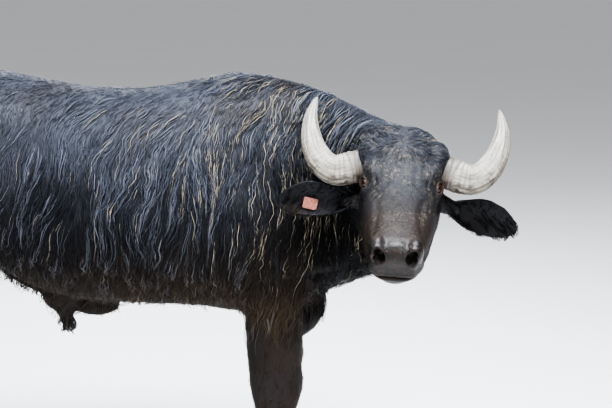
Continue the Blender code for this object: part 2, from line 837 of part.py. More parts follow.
def whole_body():
    """Trunk, neck, legs and their muscles in one skin."""
    pieces = [trunk_form(), neck_form(), sheath_form()]
    for piece in head_pieces():
        piece.matrix_world = head_frame()
        pieces.append(piece)
    pieces += [leg_form(rows, side) for rows in (FORELEG, HINDLEG) for _, side in SIDES]
    pieces += both_sides(BODY_FORMS)
    pieces += [ball("form", *form) for form in MIDLINE_FORMS]
    return fused("body", pieces, BODY_VOXEL, 10, BODY_TRIANGLES)


def leg_slab(x_low, x_high, side, height):
    """A thin level cutter through one leg."""
    edges = sorted((side * 0.088, side * 0.40))
    return box("slab", (x_low, edges[0], height - GAP / 2), (x_high, edges[1], height + GAP / 2))


def body_nodes(stub):
    """The body parted into torso, neck and legs. The stub is the tail's root."""
    body = whole_body()
    body, soles = halves(body, ("soles", "body"), (0, 0, HOOF_HEIGHT + GAP / 2), (0, 0, 1))[::-1]
    remove([soles])
    body, beyond = halves(body, ("body", "beyond"), NECK_CUT_HEAD, NECK_NORMAL_HEAD)
    remove([beyond])
    body, neck = halves(body, ("body", "neck"), NECK_CUT_TORSO, NECK_NORMAL_TORSO)
    slabs = [leg_slab(-0.10, 0.34, side, FORELEG_CUT) for _, side in SIDES]
    slabs += [leg_slab(-1.40, -0.70, side, HINDLEG_CUT) for _, side in SIDES]
    combine(body, slabs, "DIFFERENCE")
    torso, *legs = separated(body, 5)
    combine(torso, [stub], "UNION")
    torso = with_locks(torso, trunk_lock_places(), clear_of_neck_and_legs)
    finish(torso, "torso", HIDE)
    neck = with_locks(keep_largest(neck), neck_lock_places(), clear_of_trunk_and_head)
    finish(neck, "neck", HIDE)
    for leg in legs:
        centre = centre_of(leg)
        end = "foreleg" if centre.x > -0.5 else "hindleg"
        side = "left" if centre.y > 0 else "right"
        finish(leg, f"{end}_{side}", HIDE)


def clear_of_neck_and_legs(point):
    """Whether a point of a trunk lock keeps clear of the neck and of the legs' cuts."""
    before = (point - NECK_CUT_TORSO).dot(NECK_NORMAL_TORSO.normalized()) < -0.004
    return before and point.z > LOCK_FLOOR and (point.x > -0.75 or point.z > HINDLEG_CUT + 0.02)


def clear_of_trunk_and_head(point):
    """Whether a point of a neck lock keeps clear of the cuts at both ends of the neck."""
    beyond = (point - NECK_CUT_TORSO).dot(NECK_NORMAL_TORSO.normalized()) > 0.004
    return beyond and (point - NECK_CUT_HEAD).dot(NECK_NORMAL_HEAD.normalized()) < -0.004


def head_node():
    """The head, with its sockets, lids, nostrils and mouth, and flat roots for horns and ears."""
    frame = head_frame()
    neck = neck_form()
    neck.data.transform(frame.inverted())
    head = fused("head", head_pieces() + [neck], HEAD_VOXEL, 8, HEAD_TRIANGLES)
    additions = []
    for _, side in SIDES:
        additions += [horn_boss(side), ear_base(side, -EAR_STALK, -GAP, 0.0)]
        additions.append(eye_ball(side, EYE_RADIUS + LID_THICKNESS))
    combine(head, additions, "UNION")
    inverse = frame.inverted()
    cut_normal = inverse.to_3x3() @ NECK_NORMAL_HEAD.normalized()
    kept_beyond(head, inverse @ NECK_CUT_HEAD + cut_normal * GAP / 2, cut_normal)
    cuts = [mouth_line(head)]
    for _, side in SIDES:
        cuts += [nostril(side), lid_opening(side), horn_socket(side)]
    combine(head, cuts, "DIFFERENCE")
    combine(head, [eye_ball(side, EYE_RADIUS + GAP) for _, side in SIDES], "DIFFERENCE")
    head.matrix_world = frame
    finish(keep_largest(head), "head", HIDE)


def head_fittings():
    """Horns, ears, eyes and the ear tag, placed by the head's own frame."""
    frame = head_frame()
    for name, side in SIDES:
        horn_solid = horn(side)
        horn_solid.matrix_world = frame
        finish(horn_solid, f"horn_{name}", HORN_STUFF)
        eye = eye_ball(side, EYE_RADIUS)
        eye.matrix_world = frame
        finish(eye, f"eye_{name}", EYE_STUFF)
        ear_solid = combine(ear(side), [ear_base(side, 0.0, 0.034, -0.35)], "UNION")
        ear_solid.matrix_world = frame
        finish(keep_largest(ear_solid), f"ear_{name}", HIDE)
    tag = ear_tag()
    tag.matrix_world = frame
    finish(tag, "ear_tag", TAG_STUFF)


def tail_rings(rows):
    rings = []
    for i, (x, z, radius) in enumerate(rows):
        ahead, behind = rows[min(i + 1, len(rows) - 1)], rows[max(i - 1, 0)]
        down = Vector((ahead[0] - behind[0], 0, ahead[1] - behind[1])).normalized()
        fore = Vector((-down.z, 0, down.x))
        rings.append(ring(Vector((x, 0, z)), Vector((0, 1, 0)), fore, radius, radius, square=2.0, count=10))
    return rings


def switch_lock(number, draw):
    """One of the long tapered locks that hang round the tail's end."""
    angle = 2 * math.pi * number / SWITCH_LOCKS
    outward = Vector((math.cos(angle), math.sin(angle), 0))
    across = Vector((-outward.y, outward.x, 0))
    place = min(TAIL, key=lambda row: abs(row[1] - SWITCH_SHAPE[0][0]))[0]
    lower = draw.uniform(0.0, 0.05)
    rings = []
    for i, (z, reach, half_width, half_thick) in enumerate(SWITCH_SHAPE):
        centre = Vector((place, 0, z - lower * i / 3)) + outward * reach
        rings.append(ring(centre, across, outward, half_width, half_thick, 0, 2, 4))
    return loft("lock", rings)


def tail():
    """The tail, with its switch of locks."""
    draw = random.Random(5)
    locks = [switch_lock(number, draw) for number in range(SWITCH_LOCKS)]
    return keep_largest(combine(loft("tail", tail_rings(smooth_rows(TAIL, 2))), locks, "UNION"))


def tail_stub():
    """The tail's root in the rump, flat where the tail meets it."""
    face = tail_rings(smooth_rows(TAIL, 2))[0]
    centre = sum(face, Vector()) / len(face)
    down = (face[0] - centre).cross(face[2] - centre).normalized()
    if down.z > 0:
        down = -down
    rings = []
    for inward, swell in ((0.070, 0.9), (0.030, 1.1), (GAP, 1.0)):
        rings.append([centre + (p - centre) * swell - down * inward for p in face])
    return loft("stub", rings)


def claw(foot_x, side, inner):
    """One of the two claws of a foot, flat underneath."""
    y = side * (LEG_SPACING + inner * 0.0335)
    rows = (
        (0.000, 0.030, 0.078, 0.0315),
        (0.012, 0.030, 0.078, 0.0318),
        (0.040, 0.018, 0.068, 0.0305),
        (HOOF_HEIGHT, 0.000, 0.056, 0.0280),
    )
    rings = []
    for z, forward, half_length, half_width in rows:
        centre = Vector((foot_x + forward, y, z))
        rings.append(ring(centre, Vector((0, 1, 0)), Vector((1, 0, 0)), half_width, half_length, 0.10, 2.4, 16))
    return loft("claw", rings)


def hooves():
    for end, foot_x in (("fore", 0.128), ("hind", -1.112)):
        for name, side in SIDES:
            for place, inner in (("inner", -1), ("outer", 1)):
                finish(claw(foot_x, side, inner), f"hoof_{end}_{name}_{place}", HOOF_STUFF)


def centred(objects):
    """Moves the whole model so that the middle of its box's bottom is the origin."""
    corners = [v.co for obj in objects for v in obj.data.vertices]
    low = Vector([min(c[i] for c in corners) for i in range(3)])
    high = Vector([max(c[i] for c in corners) for i in range(3)])
    middle = (low + high) / 2
    for obj in objects:
        obj.data.transform(Matrix.Translation((-middle.x, -middle.y, -low.z)))


def main():
    remove(list(bpy.data.objects))
    body_nodes(tail_stub())
    head_node()
    head_fittings()
    finish(tail(), "tail", HIDE)
    hooves()
    centred(list(collection("water_buffalo").objects))


main()
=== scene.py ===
"""The looks of a life-size water buffalo bull, as an add-on whose operators build its pieces.

The pieces are made in a working frame whose origin lies under the shoulders, face +X, with the
left at +Y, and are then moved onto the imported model. All sizes are in metres.
"""

import math

import bmesh
import bpy
import numpy as np
from mathutils import Matrix, Quaternion, Vector
from mathutils.bvhtree import BVHTree
from mathutils.kdtree import KDTree


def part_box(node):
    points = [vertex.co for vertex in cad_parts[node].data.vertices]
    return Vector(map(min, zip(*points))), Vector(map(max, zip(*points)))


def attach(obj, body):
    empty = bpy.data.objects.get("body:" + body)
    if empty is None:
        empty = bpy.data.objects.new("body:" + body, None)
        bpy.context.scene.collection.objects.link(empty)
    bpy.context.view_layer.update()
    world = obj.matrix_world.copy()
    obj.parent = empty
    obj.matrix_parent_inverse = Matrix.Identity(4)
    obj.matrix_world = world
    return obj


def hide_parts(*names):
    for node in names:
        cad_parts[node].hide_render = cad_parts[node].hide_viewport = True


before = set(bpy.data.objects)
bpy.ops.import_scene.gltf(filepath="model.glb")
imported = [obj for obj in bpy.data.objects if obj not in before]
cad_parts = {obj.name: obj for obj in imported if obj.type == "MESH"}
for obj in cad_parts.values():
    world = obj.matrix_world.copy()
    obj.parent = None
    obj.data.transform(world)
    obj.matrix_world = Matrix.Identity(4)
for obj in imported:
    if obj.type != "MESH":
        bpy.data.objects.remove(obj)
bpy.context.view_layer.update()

bl_info = {
    "name": "Water buffalo bull",
    "version": (1, 0, 0),
    "blender": (4, 5, 0),
    "location": "View3D > Sidebar > Buffalo",
    "description": "Builds the skin, coat, horns and stage of a life-size water buffalo bull",
    "category": "Add Mesh",
}

# Driving dimensions
HOOF_HEIGHT, HOOF_OVERLAP = 0.072, 0.004
EYE_RADIUS = 0.0205
EYE_PLACE = Vector((0.196, 0.0985, -0.058))
EYE_AIM = Vector((0.42, 0.66, 0.62)).normalized()
LID_THICKNESS = 0.0050
LID_LONG, LID_HIGH = 0.0190, 0.0128
HORN_ROOT = Vector((0.118, 0.112, -0.062))
HORN_LEAN = math.radians(58)
EAR_ROOT = {1: Vector((0.125, 0.146, -0.178)), -1: Vector((0.150, -0.146, -0.160))}
EAR_REACH = {1: Vector((0.05, 0.94, -0.33)), -1: Vector((0.03, -0.98, -0.10))}
EAR_LENGTH = 0.220
EAR_WALL = 0.0052
TAG_SIZE = (0.043, 0.034, 0.0022)
TAG_SHARE, TAG_TURN, TAG_STANDOFF = 0.56, math.radians(-14), 0.0045
TAG_ROLL = math.radians(-14)
SIDES = (("left", 1), ("right", -1))
AHEAD, LEFT, UP = Vector((1, 0, 0)), Vector((0, 1, 0)), Vector((0, 0, 1))
FEET = (("fore", 0.128), ("hind", -1.112))
LEG_SPACING, CLAW_SPACING, DEWCLAW_SPACING = 0.175, 0.0335, 0.025
DOWN = np.array((0.0, 0.0, -1.0))

# How near the eyes, nostrils and mouth the skin's faces are split, once for each reach
FEATURE_REACHES = (0.060, 0.038)

# A hair's patch on the unwrap, its free stretch as a share of its length on the skin, and
# how deep its root lies
TUFT_PATCH = 0.003
FRINGE = 0.25
ROOT_DEPTH = 0.0015

# The chance of a hair where none should grow, so that the chances never sum to nothing
BARELY = 1e-9

# The camera: its place in the working frame, how far it looks down, its lens and its sensor
CAMERA_PLACE = (0.193, -4.74, 1.70)
CAMERA_DIP = math.atan(244 / 1500)
CAMERA_LENS = 88.235
CAMERA_SENSOR = 36.0

# The lights: size, place and what they face, both in the working frame
LAMPS = {
    "key": (2.6, (0.4, -1.2, 4.6), (0.0, -0.1, 1.0)),
    "fill": (3.5, (2.2, -4.6, 2.6), (0.2, 0.0, 0.9)),
    "sun": (1.0, (-1.6, -2.6, 3.6), (0.0, 0.0, 0.6)),
    "rim": (2.5, (-1.5, 3.4, 3.2), (0.0, 0.0, 1.0)),
}
SUN_ANGLE = math.radians(40)

# Stretches of the coat along the body, and the share of the strands in each
UNDER_SLICES = ((-1.25, -0.28), (-0.28, 0.90))
STRAND_SLICES = ((-1.25, -0.45, 0.24), (-0.45, -0.02, 0.37), (-0.02, 0.90, 0.39))

# A claw's sections: height, place forward of the foot, half length and half width
CLAW = (
    (0.000, 0.030, 0.078, 0.0315),
    (0.012, 0.030, 0.078, 0.0318),
    (0.040, 0.018, 0.068, 0.0305),
    (0.072, 0.000, 0.056, 0.0280),
)

# How the head is held: the poll's place, and the turns of the face line
POLL = Vector((0.491, -0.285, 1.201))
HEAD_TURN = math.radians(-94.5)
HEAD_DIP = math.radians(31.6)
HEAD_ROLL = math.radians(-3.7)

# The trunk: place along the spine, back, belly, half width, narrowing towards the spine
TRUNK = (
    (-1.375, 1.115, 0.985, 0.050, 0.00),
    (-1.340, 1.180, 0.925, 0.110, 0.05),
    (-1.260, 1.260, 0.860, 0.180, 0.12),
    (-1.120, 1.325, 0.810, 0.235, 0.20),
    (-0.960, 1.356, 0.765, 0.265, 0.25),
    (-0.800, 1.362, 0.735, 0.285, 0.24),
    (-0.680, 1.340, 0.676, 0.305, 0.20),
    (-0.540, 1.313, 0.626, 0.330, 0.15),
    (-0.380, 1.300, 0.612, 0.345, 0.13),
    (-0.240, 1.311, 0.607, 0.335, 0.17),
    (-0.130, 1.336, 0.600, 0.310, 0.24),
    (-0.020, 1.350, 0.584, 0.280, 0.32),
    (0.100, 1.338, 0.575, 0.262, 0.34),
    (0.200, 1.312, 0.600, 0.235, 0.32),
    (0.290, 1.262, 0.680, 0.180, 0.20),
    (0.340, 1.160, 0.800, 0.100, 0.10),
)

# The neck, which bends to the right: place, place across, crest, throat, half width
NECK = (
    (0.060, 0.000, 1.315, 0.640, 0.200),
    (0.180, -0.010, 1.316, 0.620, 0.196),
    (0.280, -0.060, 1.284, 0.660, 0.168),
    (0.362, -0.130, 1.250, 0.705, 0.146),
    (0.424, -0.210, 1.224, 0.745, 0.124),
    (0.460, -0.300, 1.206, 0.820, 0.116),
    (0.466, -0.400, 1.150, 0.880, 0.100),
)

# A foreleg: height, place, place across, half length fore and aft, half width
FORELEG = (
    (0.860, 0.080, 0.185, 0.130, 0.070),
    (0.700, 0.085, 0.188, 0.112, 0.072),
    (0.600, 0.092, 0.185, 0.096, 0.067),
    (0.500, 0.094, 0.180, 0.089, 0.063),
    (0.440, 0.096, 0.177, 0.085, 0.060),
    (0.385, 0.100, 0.175, 0.086, 0.062),
    (0.335, 0.098, 0.175, 0.075, 0.056),
    (0.275, 0.092, 0.175, 0.057, 0.047),
    (0.215, 0.088, 0.175, 0.049, 0.044),
    (0.165, 0.092, 0.175, 0.062, 0.058),
    (0.125, 0.108, 0.175, 0.057, 0.057),
    (0.085, 0.122, 0.175, 0.063, 0.063),
    (0.060, 0.128, 0.175, 0.068, 0.066),
)

# A hind leg below the thigh, in the same columns, read down its slanting length
HINDLEG = (
    (0.800, -0.930, 0.195, 0.175, 0.085),
    (0.700, -1.000, 0.195, 0.140, 0.078),
    (0.610, -1.080, 0.188, 0.100, 0.062),
    (0.540, -1.150, 0.182, 0.078, 0.050),
    (0.470, -1.190, 0.178, 0.074, 0.050),
    (0.400, -1.192, 0.176, 0.060, 0.046),
    (0.310, -1.180, 0.175, 0.050, 0.041),
    (0.220, -1.165, 0.175, 0.050, 0.042),
    (0.165, -1.155, 0.175, 0.062, 0.055),
    (0.125, -1.135, 0.175, 0.056, 0.055),
    (0.085, -1.118, 0.175, 0.062, 0.061),
    (0.060, -1.112, 0.175, 0.067, 0.064),
)

# The head along its face line, poll to muzzle: place, brow, jaw, half width, narrowing above
HEAD = (
    (-0.040, -0.030, -0.175, 0.090, 0.00),
    (0.015, 0.004, -0.215, 0.114, -0.04),
    (0.070, 0.022, -0.238, 0.124, -0.06),
    (0.130, 0.024, -0.246, 0.124, -0.02),
    (0.190, 0.014, -0.240, 0.117, 0.02),
    (0.250, 0.001, -0.224, 0.111, 0.06),
    (0.310, -0.006, -0.206, 0.108, 0.06),
    (0.370, -0.010, -0.190, 0.100, 0.04),
    (0.420, -0.012, -0.180, 0.091, 0.00),
    (0.460, -0.018, -0.172, 0.080, -0.04),
    (0.490, -0.032, -0.162, 0.071, -0.02),
    (0.512, -0.055, -0.142, 0.056, 0.00),
)

# Muscle and bone forms of one side of the body: centre, radii, pitch in degrees
BODY_FORMS = (
    ((0.080, 0.158, 0.975), (0.165, 0.090, 0.240), -14),
    ((0.235, 0.160, 0.820), (0.095, 0.075, 0.130), 0),
    ((0.030, 0.195, 0.770), (0.145, 0.078, 0.165), 0),
    ((-0.800, 0.165, 1.215), (0.120, 0.075, 0.060), 0),
    ((-1.270, 0.105, 1.165), (0.085, 0.050, 0.060), 0),
    ((-1.070, 0.172, 0.965), (0.235, 0.106, 0.265), 16),
    ((-1.160, 0.180, 0.830), (0.130, 0.080, 0.180), 20),
    ((-0.885, 0.185, 0.790), (0.120, 0.085, 0.140), -20),
    ((-1.237, 0.178, 0.525), (0.034, 0.028, 0.050), 30),
    ((0.036, 0.150, 0.135), (0.017, 0.014, 0.024), -20),
    ((0.036, 0.200, 0.135), (0.017, 0.014, 0.024), -20),
    ((-1.208, 0.150, 0.135), (0.017, 0.014, 0.024), -20),
    ((-1.208, 0.200, 0.135), (0.017, 0.014, 0.024), -20),
)

# Forms on the middle line of the body
MIDLINE_FORMS = (
    ((0.155, 0.000, 0.615), (0.110, 0.070, 0.130), 18),
    ((-0.485, 0.000, 0.600), (0.085, 0.050, 0.040), 0),
    ((-0.590, 0.000, 0.630), (0.080, 0.045, 0.060), 0),
    ((-0.670, 0.000, 0.672), (0.150, 0.034, 0.040), 22),
)

# The sheath, downwards: place, height, radius
SHEATH = (
    (-0.600, 0.640, 0.048),
    (-0.592, 0.595, 0.037),
    (-0.584, 0.560, 0.029),
    (-0.576, 0.522, 0.020),
)

# Bone and flesh forms of one side of the head, in its own frame
HEAD_FORMS = (
    ((0.168, 0.080, -0.030), (0.062, 0.036, 0.034), 6),
    ((0.200, 0.094, -0.056), (0.046, 0.030, 0.039), 0),
    ((0.086, 0.094, -0.046), (0.066, 0.046, 0.058), 0),
    ((0.180, 0.080, -0.150), (0.115, 0.042, 0.085), 8),
    ((0.095, 0.062, -0.178), (0.062, 0.042, 0.056), 0),
    ((0.290, 0.066, -0.090), (0.085, 0.030, 0.050), 0),
    ((0.474, 0.052, -0.052), (0.040, 0.028, 0.036), 20),
    ((0.462, 0.040, -0.108), (0.052, 0.042, 0.030), 0),
    ((0.112, 0.086, -0.145), (0.040, 0.032, 0.036), 0),
)

# Forms on the middle line of the head
HEAD_MIDLINE_FORMS = (
    ((0.105, 0.000, -0.034), (0.105, 0.104, 0.068), 0),
    ((0.025, 0.000, -0.052), (0.065, 0.104, 0.070), 0),
    ((0.476, 0.000, -0.066), (0.042, 0.064, 0.046), 0),
    ((0.452, 0.000, -0.160), (0.050, 0.052, 0.026), -8),
)

# The tail's path: place, height, radius
TAIL = (
    (-1.374, 1.158, 0.034),
    (-1.404, 1.150, 0.033),
    (-1.432, 1.112, 0.030),
    (-1.446, 1.040, 0.026),
    (-1.450, 0.900, 0.023),
    (-1.446, 0.740, 0.020),
    (-1.440, 0.620, 0.020),
    (-1.436, 0.540, 0.021),
    (-1.434, 0.470, 0.014),
    (-1.434, 0.430, 0.004),
)

# A horn: out from its root, up, back, half depth in its own plane, half thickness
HORN = (
    (0.000, 0.000, 0.000, 0.048, 0.033),
    (0.028, -0.002, -0.002, 0.048, 0.032),
    (0.060, -0.012, -0.002, 0.047, 0.031),
    (0.094, -0.014, 0.002, 0.044, 0.029),
    (0.128, 0.010, 0.012, 0.041, 0.027),
    (0.155, 0.053, 0.023, 0.036, 0.023),
    (0.172, 0.108, 0.036, 0.029, 0.019),
    (0.177, 0.165, 0.048, 0.020, 0.014),
    (0.170, 0.212, 0.056, 0.010, 0.008),
    (0.164, 0.233, 0.058, 0.003, 0.003),
)

# An ear: share of its length, half width along the wall, how far it is rolled in degrees
EAR = (
    (0.00, 0.039, 118),
    (0.10, 0.049, 94),
    (0.25, 0.056, 64),
    (0.45, 0.060, 45),
    (0.65, 0.055, 37),
    (0.82, 0.042, 33),
    (0.94, 0.024, 30),
    (1.00, 0.008, 28),
)

# An ear's root, outwards: place along the ear, radius
EAR_STALK = ((-0.080, 0.030), (-0.045, 0.028), (-0.012, 0.0255), (0.014, 0.0215), (0.030, 0.015))

# The nodes of flesh, for which the skin stands
FLESH = (
    "torso", "neck", "head", "tail", "ear_left", "ear_right",
    "foreleg_left", "foreleg_right", "hindleg_left", "hindleg_right",
)

# Creases of one side of the head, in its own frame: points along it, width and depth
HEAD_CREASES = (
    (((0.245, 0.098, -0.105), (0.215, 0.116, -0.118), (0.170, 0.124, -0.112)), 0.0055, 0.0030),
    (((0.250, 0.088, -0.082), (0.222, 0.110, -0.100), (0.180, 0.122, -0.100)), 0.0045, 0.0028),
    (((0.232, 0.070, -0.028), (0.205, 0.080, -0.012), (0.172, 0.084, -0.008)), 0.0050, 0.0026),
    (((0.260, 0.098, -0.125), (0.330, 0.092, -0.120), (0.400, 0.078, -0.100)), 0.0090, 0.0030),
    (((0.300, 0.062, -0.030), (0.360, 0.056, -0.034), (0.420, 0.056, -0.046)), 0.0100, 0.0030),
    (((0.440, 0.070, -0.036), (0.462, 0.082, -0.064), (0.452, 0.082, -0.100)), 0.0060, 0.0035),
    (((0.150, 0.122, -0.180), (0.180, 0.112, -0.215), (0.215, 0.085, -0.235)), 0.0100, 0.0040),
    (((0.516, 0.000, -0.060), (0.522, 0.000, -0.090), (0.512, 0.000, -0.122)), 0.0035, 0.0012),
    (((0.130, 0.030, 0.040), (0.190, 0.040, 0.016), (0.250, 0.044, -0.002)), 0.0120, 0.0022),
)

# Folds across the bridge of the nose: first and last place along the face line, spacing and depth
NOSE_FOLDS = (0.375, 0.455, 0.0115, 0.0010)

# A nostril: centre, its turn in degrees, half width, half height, depth and the swell of its rim
NOSTRIL = (Vector((0.508, 0.0455, -0.058)), 28, 0.0165, 0.0195, 0.030, 0.0030)
MOUTH_PLACE, MOUTH_HEIGHT, MOUTH_WIDTH, MOUTH_DEPTH = 0.400, -0.128, 0.0030, 0.0065


def deselect():
    for obj in bpy.context.selected_objects:
        obj.select_set(False)


def pick(*objects):
    """Selects these objects alone, with the first as the active one."""
    deselect()
    for obj in objects:
        obj.select_set(True)
    bpy.context.view_layer.objects.active = objects[0]
    return objects[0]


def apply_modifier(obj, kind, **settings):
    """Adds a modifier with its settings and applies it."""
    pick(obj)
    modifier = obj.modifiers.new(kind.lower(), kind)
    for name, value in settings.items():
        setattr(modifier, name, value)
    bpy.ops.object.modifier_apply(modifier=modifier.name)
    return obj


def smoothed(obj, rounds, group=""):
    """Relaxes the piece, or only the vertices of a group, over some rounds."""
    return apply_modifier(obj, "SMOOTH", factor=0.5, iterations=rounds, vertex_group=group)


def smooth_rows(rows, steps=3):
    """The rows of a table with more between them, on a Catmull-Rom curve through them all."""
    made = []
    last = len(rows) - 1
    for i in range(last):
        before, here, there, after = (rows[max(0, min(last, i + k))] for k in (-1, 0, 1, 2))
        for step in range(steps):
            t = step / steps
            made.append(
                tuple(
                    0.5 * (
                        2 * b + (c - a) * t + (2 * a - 5 * b + 4 * c - d) * t**2
                        + (3 * b - a - 3 * c + d) * t**3
                    )
                    for a, b, c, d in zip(before, here, there, after)
                )
            )
    made.append(tuple(rows[last]))
    return made


def rounded(t, square):
    """Cosine and sine of a turn, squared off where square is over 2."""
    c, s = math.cos(t), math.sin(t)
    return math.copysign(abs(c) ** (2 / square), c), math.copysign(abs(s) ** (2 / square), s)


def ring(centre, across, up, half_width, half_height, narrowing=0.0, square=2.2, count=32):
    """One closed section. It is narrower above where narrowing is positive."""
    points = []
    for i in range(count):
        c, s = rounded(2 * math.pi * i / count, square)
        points.append(centre + across * (half_width * c * (1 - narrowing * s)) + up * (half_height * s))
    return points


def loft(name, rings, values=None):
    """A closed piece through rings of equal count, wrapped from a flat grid that may carry values."""
    rows, count = len(rings), len(rings[0])
    deselect()
    bpy.ops.mesh.primitive_grid_add(x_subdivisions=count, y_subdivisions=rows - 1, size=1.0)
    obj = bpy.context.object
    obj.name = name
    places = [points[i % count] for points in rings for i in range(count + 1)]
    obj.data.vertices.foreach_set("co", np.array(places, np.float32).ravel())
    obj.data.update()
    for key, numbers in (values or {}).items():
        attribute(obj, key, numbers)
    bpy.ops.object.mode_set(mode="EDIT")
    bpy.ops.mesh.select_all(action="SELECT")
    bpy.ops.mesh.remove_doubles(threshold=0.000001)
    bpy.ops.mesh.fill_holes(sides=0)
    bpy.ops.mesh.select_all(action="SELECT")
    bpy.ops.mesh.normals_make_consistent(inside=False)
    bpy.ops.object.mode_set(mode="OBJECT")
    return facing_out(obj)


def facing_out(obj):
    """The closed piece with its faces turned out."""
    bm = bmesh.new()
    bm.from_mesh(obj.data)
    if bm.calc_volume(signed=True) < 0:
        bmesh.ops.reverse_faces(bm, faces=bm.faces)
        bm.to_mesh(obj.data)
    bm.free()
    return obj


def ball(centre, radii, pitch=0.0, fine=16):
    """An ellipsoid, with its length turned nose down by the pitch in degrees."""
    deselect()
    bpy.ops.mesh.primitive_uv_sphere_add(segments=2 * fine, ring_count=fine, radius=1.0)
    obj = bpy.context.object
    turn = Matrix.Rotation(math.radians(pitch), 4, "Y")
    obj.data.transform(Matrix.Translation(centre) @ turn @ Matrix.Diagonal((*radii, 1.0)))
    return obj


def both_sides(forms):
    """Each form on the left and on the right."""
    made = []
    for (x, y, z), radii, pitch in forms:
        made += [ball((x, y * side, z), radii, pitch) for _, side in SIDES]
    return made


def joined(name, pieces):
    """One object of all the pieces, with their places in its mesh."""
    pick(*pieces)
    bpy.ops.object.join()
    obj = bpy.context.object
    bpy.ops.object.transform_apply(location=True, rotation=True, scale=True)
    obj.name = name
    obj.data.name = name
    return obj


def combined(obj, others, operation, solver="EXACT"):
    """Applies one Boolean of the piece with the others, which are removed."""
    group = bpy.data.collections.new("cutters")
    for other in others:
        group.objects.link(other)
    apply_modifier(
        obj, "BOOLEAN", operation=operation, operand_type="COLLECTION", collection=group, solver=solver
    )
    for other in others:
        bpy.data.objects.remove(other)
    bpy.data.collections.remove(group)
    return obj


def keep_largest(obj):
    """Drops every surface of the piece but its largest."""
    pick(obj)
    bpy.ops.object.mode_set(mode="EDIT")
    bpy.ops.mesh.select_all(action="SELECT")
    bpy.ops.mesh.separate(type="LOOSE")
    bpy.ops.object.mode_set(mode="OBJECT")
    parts = sorted(bpy.context.selected_objects, key=lambda part: len(part.data.polygons))
    kept = parts.pop()
    for scrap in parts:
        bpy.data.objects.remove(scrap)
    return kept


def points_of(obj):
    points = np.empty(len(obj.data.vertices) * 3, np.float32)
    obj.data.vertices.foreach_get("co", points)
    return points.reshape(-1, 3).astype(float)


def normals_of(obj):
    normals = np.empty(len(obj.data.vertices) * 3, np.float32)
    obj.data.vertex_normals.foreach_get("vector", normals)
    return normals.reshape(-1, 3).astype(float)


def set_points(obj, points):
    obj.data.vertices.foreach_set("co", np.asarray(points, np.float32).ravel())
    obj.data.update()


def weigh(obj, name, weights):
    """A vertex group of the piece, with a weight for each of its vertices in twenty steps."""
    group = obj.vertex_groups.new(name=name)
    steps = np.round(np.clip(weights, 0, 1) * 20).astype(int)
    for step in range(1, 21):
        group.add(np.nonzero(steps == step)[0].tolist(), step / 20, "REPLACE")
    return name


def attribute(obj, name, values):
    """A number for each vertex of the piece, which its material reads."""
    made = obj.data.attributes.new(name, "FLOAT", "POINT")
    made.data.foreach_set("value", np.asarray(values, np.float32))


def blended(low, high, values):
    """0 below low and 1 above high, eased between them."""
    t = np.clip((values - low) / (high - low), 0, 1)
    return t * t * (3 - 2 * t)


def near(values, middle, width):
    """1 at the middle, falling to 0 on both sides at about twice the width."""
    return np.exp(-(((values - middle) / width) ** 2))


def noise(points, size, seed=0):
    """Smooth noise from -1 to 1 at each point, with lumps of about that size."""
    places = np.asarray(points, float) / size + seed * 19.7
    cells = np.floor(places).astype(np.int64)
    part = places - cells
    part = part * part * (3 - 2 * part)
    total = np.zeros(len(places))
    for corner in np.ndindex(2, 2, 2):
        at = cells + np.array(corner)
        mixed = at[:, 0] * 73856093 ^ at[:, 1] * 19349663 ^ at[:, 2] * 83492791 ^ seed * 40503
        mixed = (mixed ^ (mixed >> 13)) * 1274126177
        value = ((mixed ^ (mixed >> 16)) & 0xFFFF) / 32767.5 - 1
        total += value * np.prod(np.where(corner, part, 1 - part), axis=1)
    return total


def head_frame():
    """The matrix from the head's own frame, face line along +X, to the working frame."""
    turn = Matrix.Rotation(HEAD_TURN, 4, "Z")
    roll = Matrix.Rotation(HEAD_ROLL, 4, "X")
    dip = Matrix.Rotation(HEAD_DIP, 4, "Y")
    return Matrix.Translation(POLL) @ turn @ roll @ dip


def in_frame(points, matrix):
    """The points, an array, moved by a matrix."""
    m = np.array(matrix)
    return points @ m[:3, :3].T + m[:3, 3]


def in_head(points):
    """The points in the head's own frame."""
    return in_frame(points, head_frame().inverted())


def head_turn():
    """The turn from the working frame to the head's own, for ways and normals."""
    return np.array(head_frame().inverted())[:3, :3]


def move_in_head(obj, moves):
    """Moves the piece's points by moves given in the head's own frame."""
    set_points(obj, points_of(obj) + moves @ head_turn())


def working_to_model():
    """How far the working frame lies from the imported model's, read at the left eye."""
    low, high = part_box("eye_left")
    return (low + high) / 2 - head_frame() @ EYE_PLACE


SHIFT = working_to_model()


def settle(obj, slot, *nodes):
    """Moves a finished piece onto the model, hangs it on the root and hides the model's parts that it
    stands for.
    """
    obj.data.transform(Matrix.Translation(SHIFT))
    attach(obj, "root")
    if nodes:
        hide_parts(*nodes)
    return obj


def neighbours(rows, i):
    """The rows after and before one, or that one itself at an end."""
    return rows[min(i + 1, len(rows) - 1)], rows[max(i - 1, 0)]


def upright_form(name, table, square):
    """A loft along the middle line, from rows of place, top, bottom, half width and narrowing."""
    rings = []
    for x, top, bottom, half, narrow in smooth_rows(table):
        centre = Vector((x, 0, (top + bottom) / 2))
        rings.append(ring(centre, LEFT, UP, half, (top - bottom) / 2, narrow, square))
    return loft(name, rings)


def neck_form():
    """The neck's loft, whose sections stand upright across its bent path."""
    rows = smooth_rows(NECK, 4)
    rings = []
    for i, (x, y, crest, throat, half) in enumerate(rows):
        ahead, behind = neighbours(rows, i)
        along = Vector((ahead[0] - behind[0], ahead[1] - behind[1], 0)).normalized()
        across = Vector((-along.y, along.x, 0))
        centre = Vector((x, y, (crest + throat) / 2))
        rings.append(ring(centre, across, UP, half, (crest - throat) / 2, 0.10))
    return loft("neck", rings)


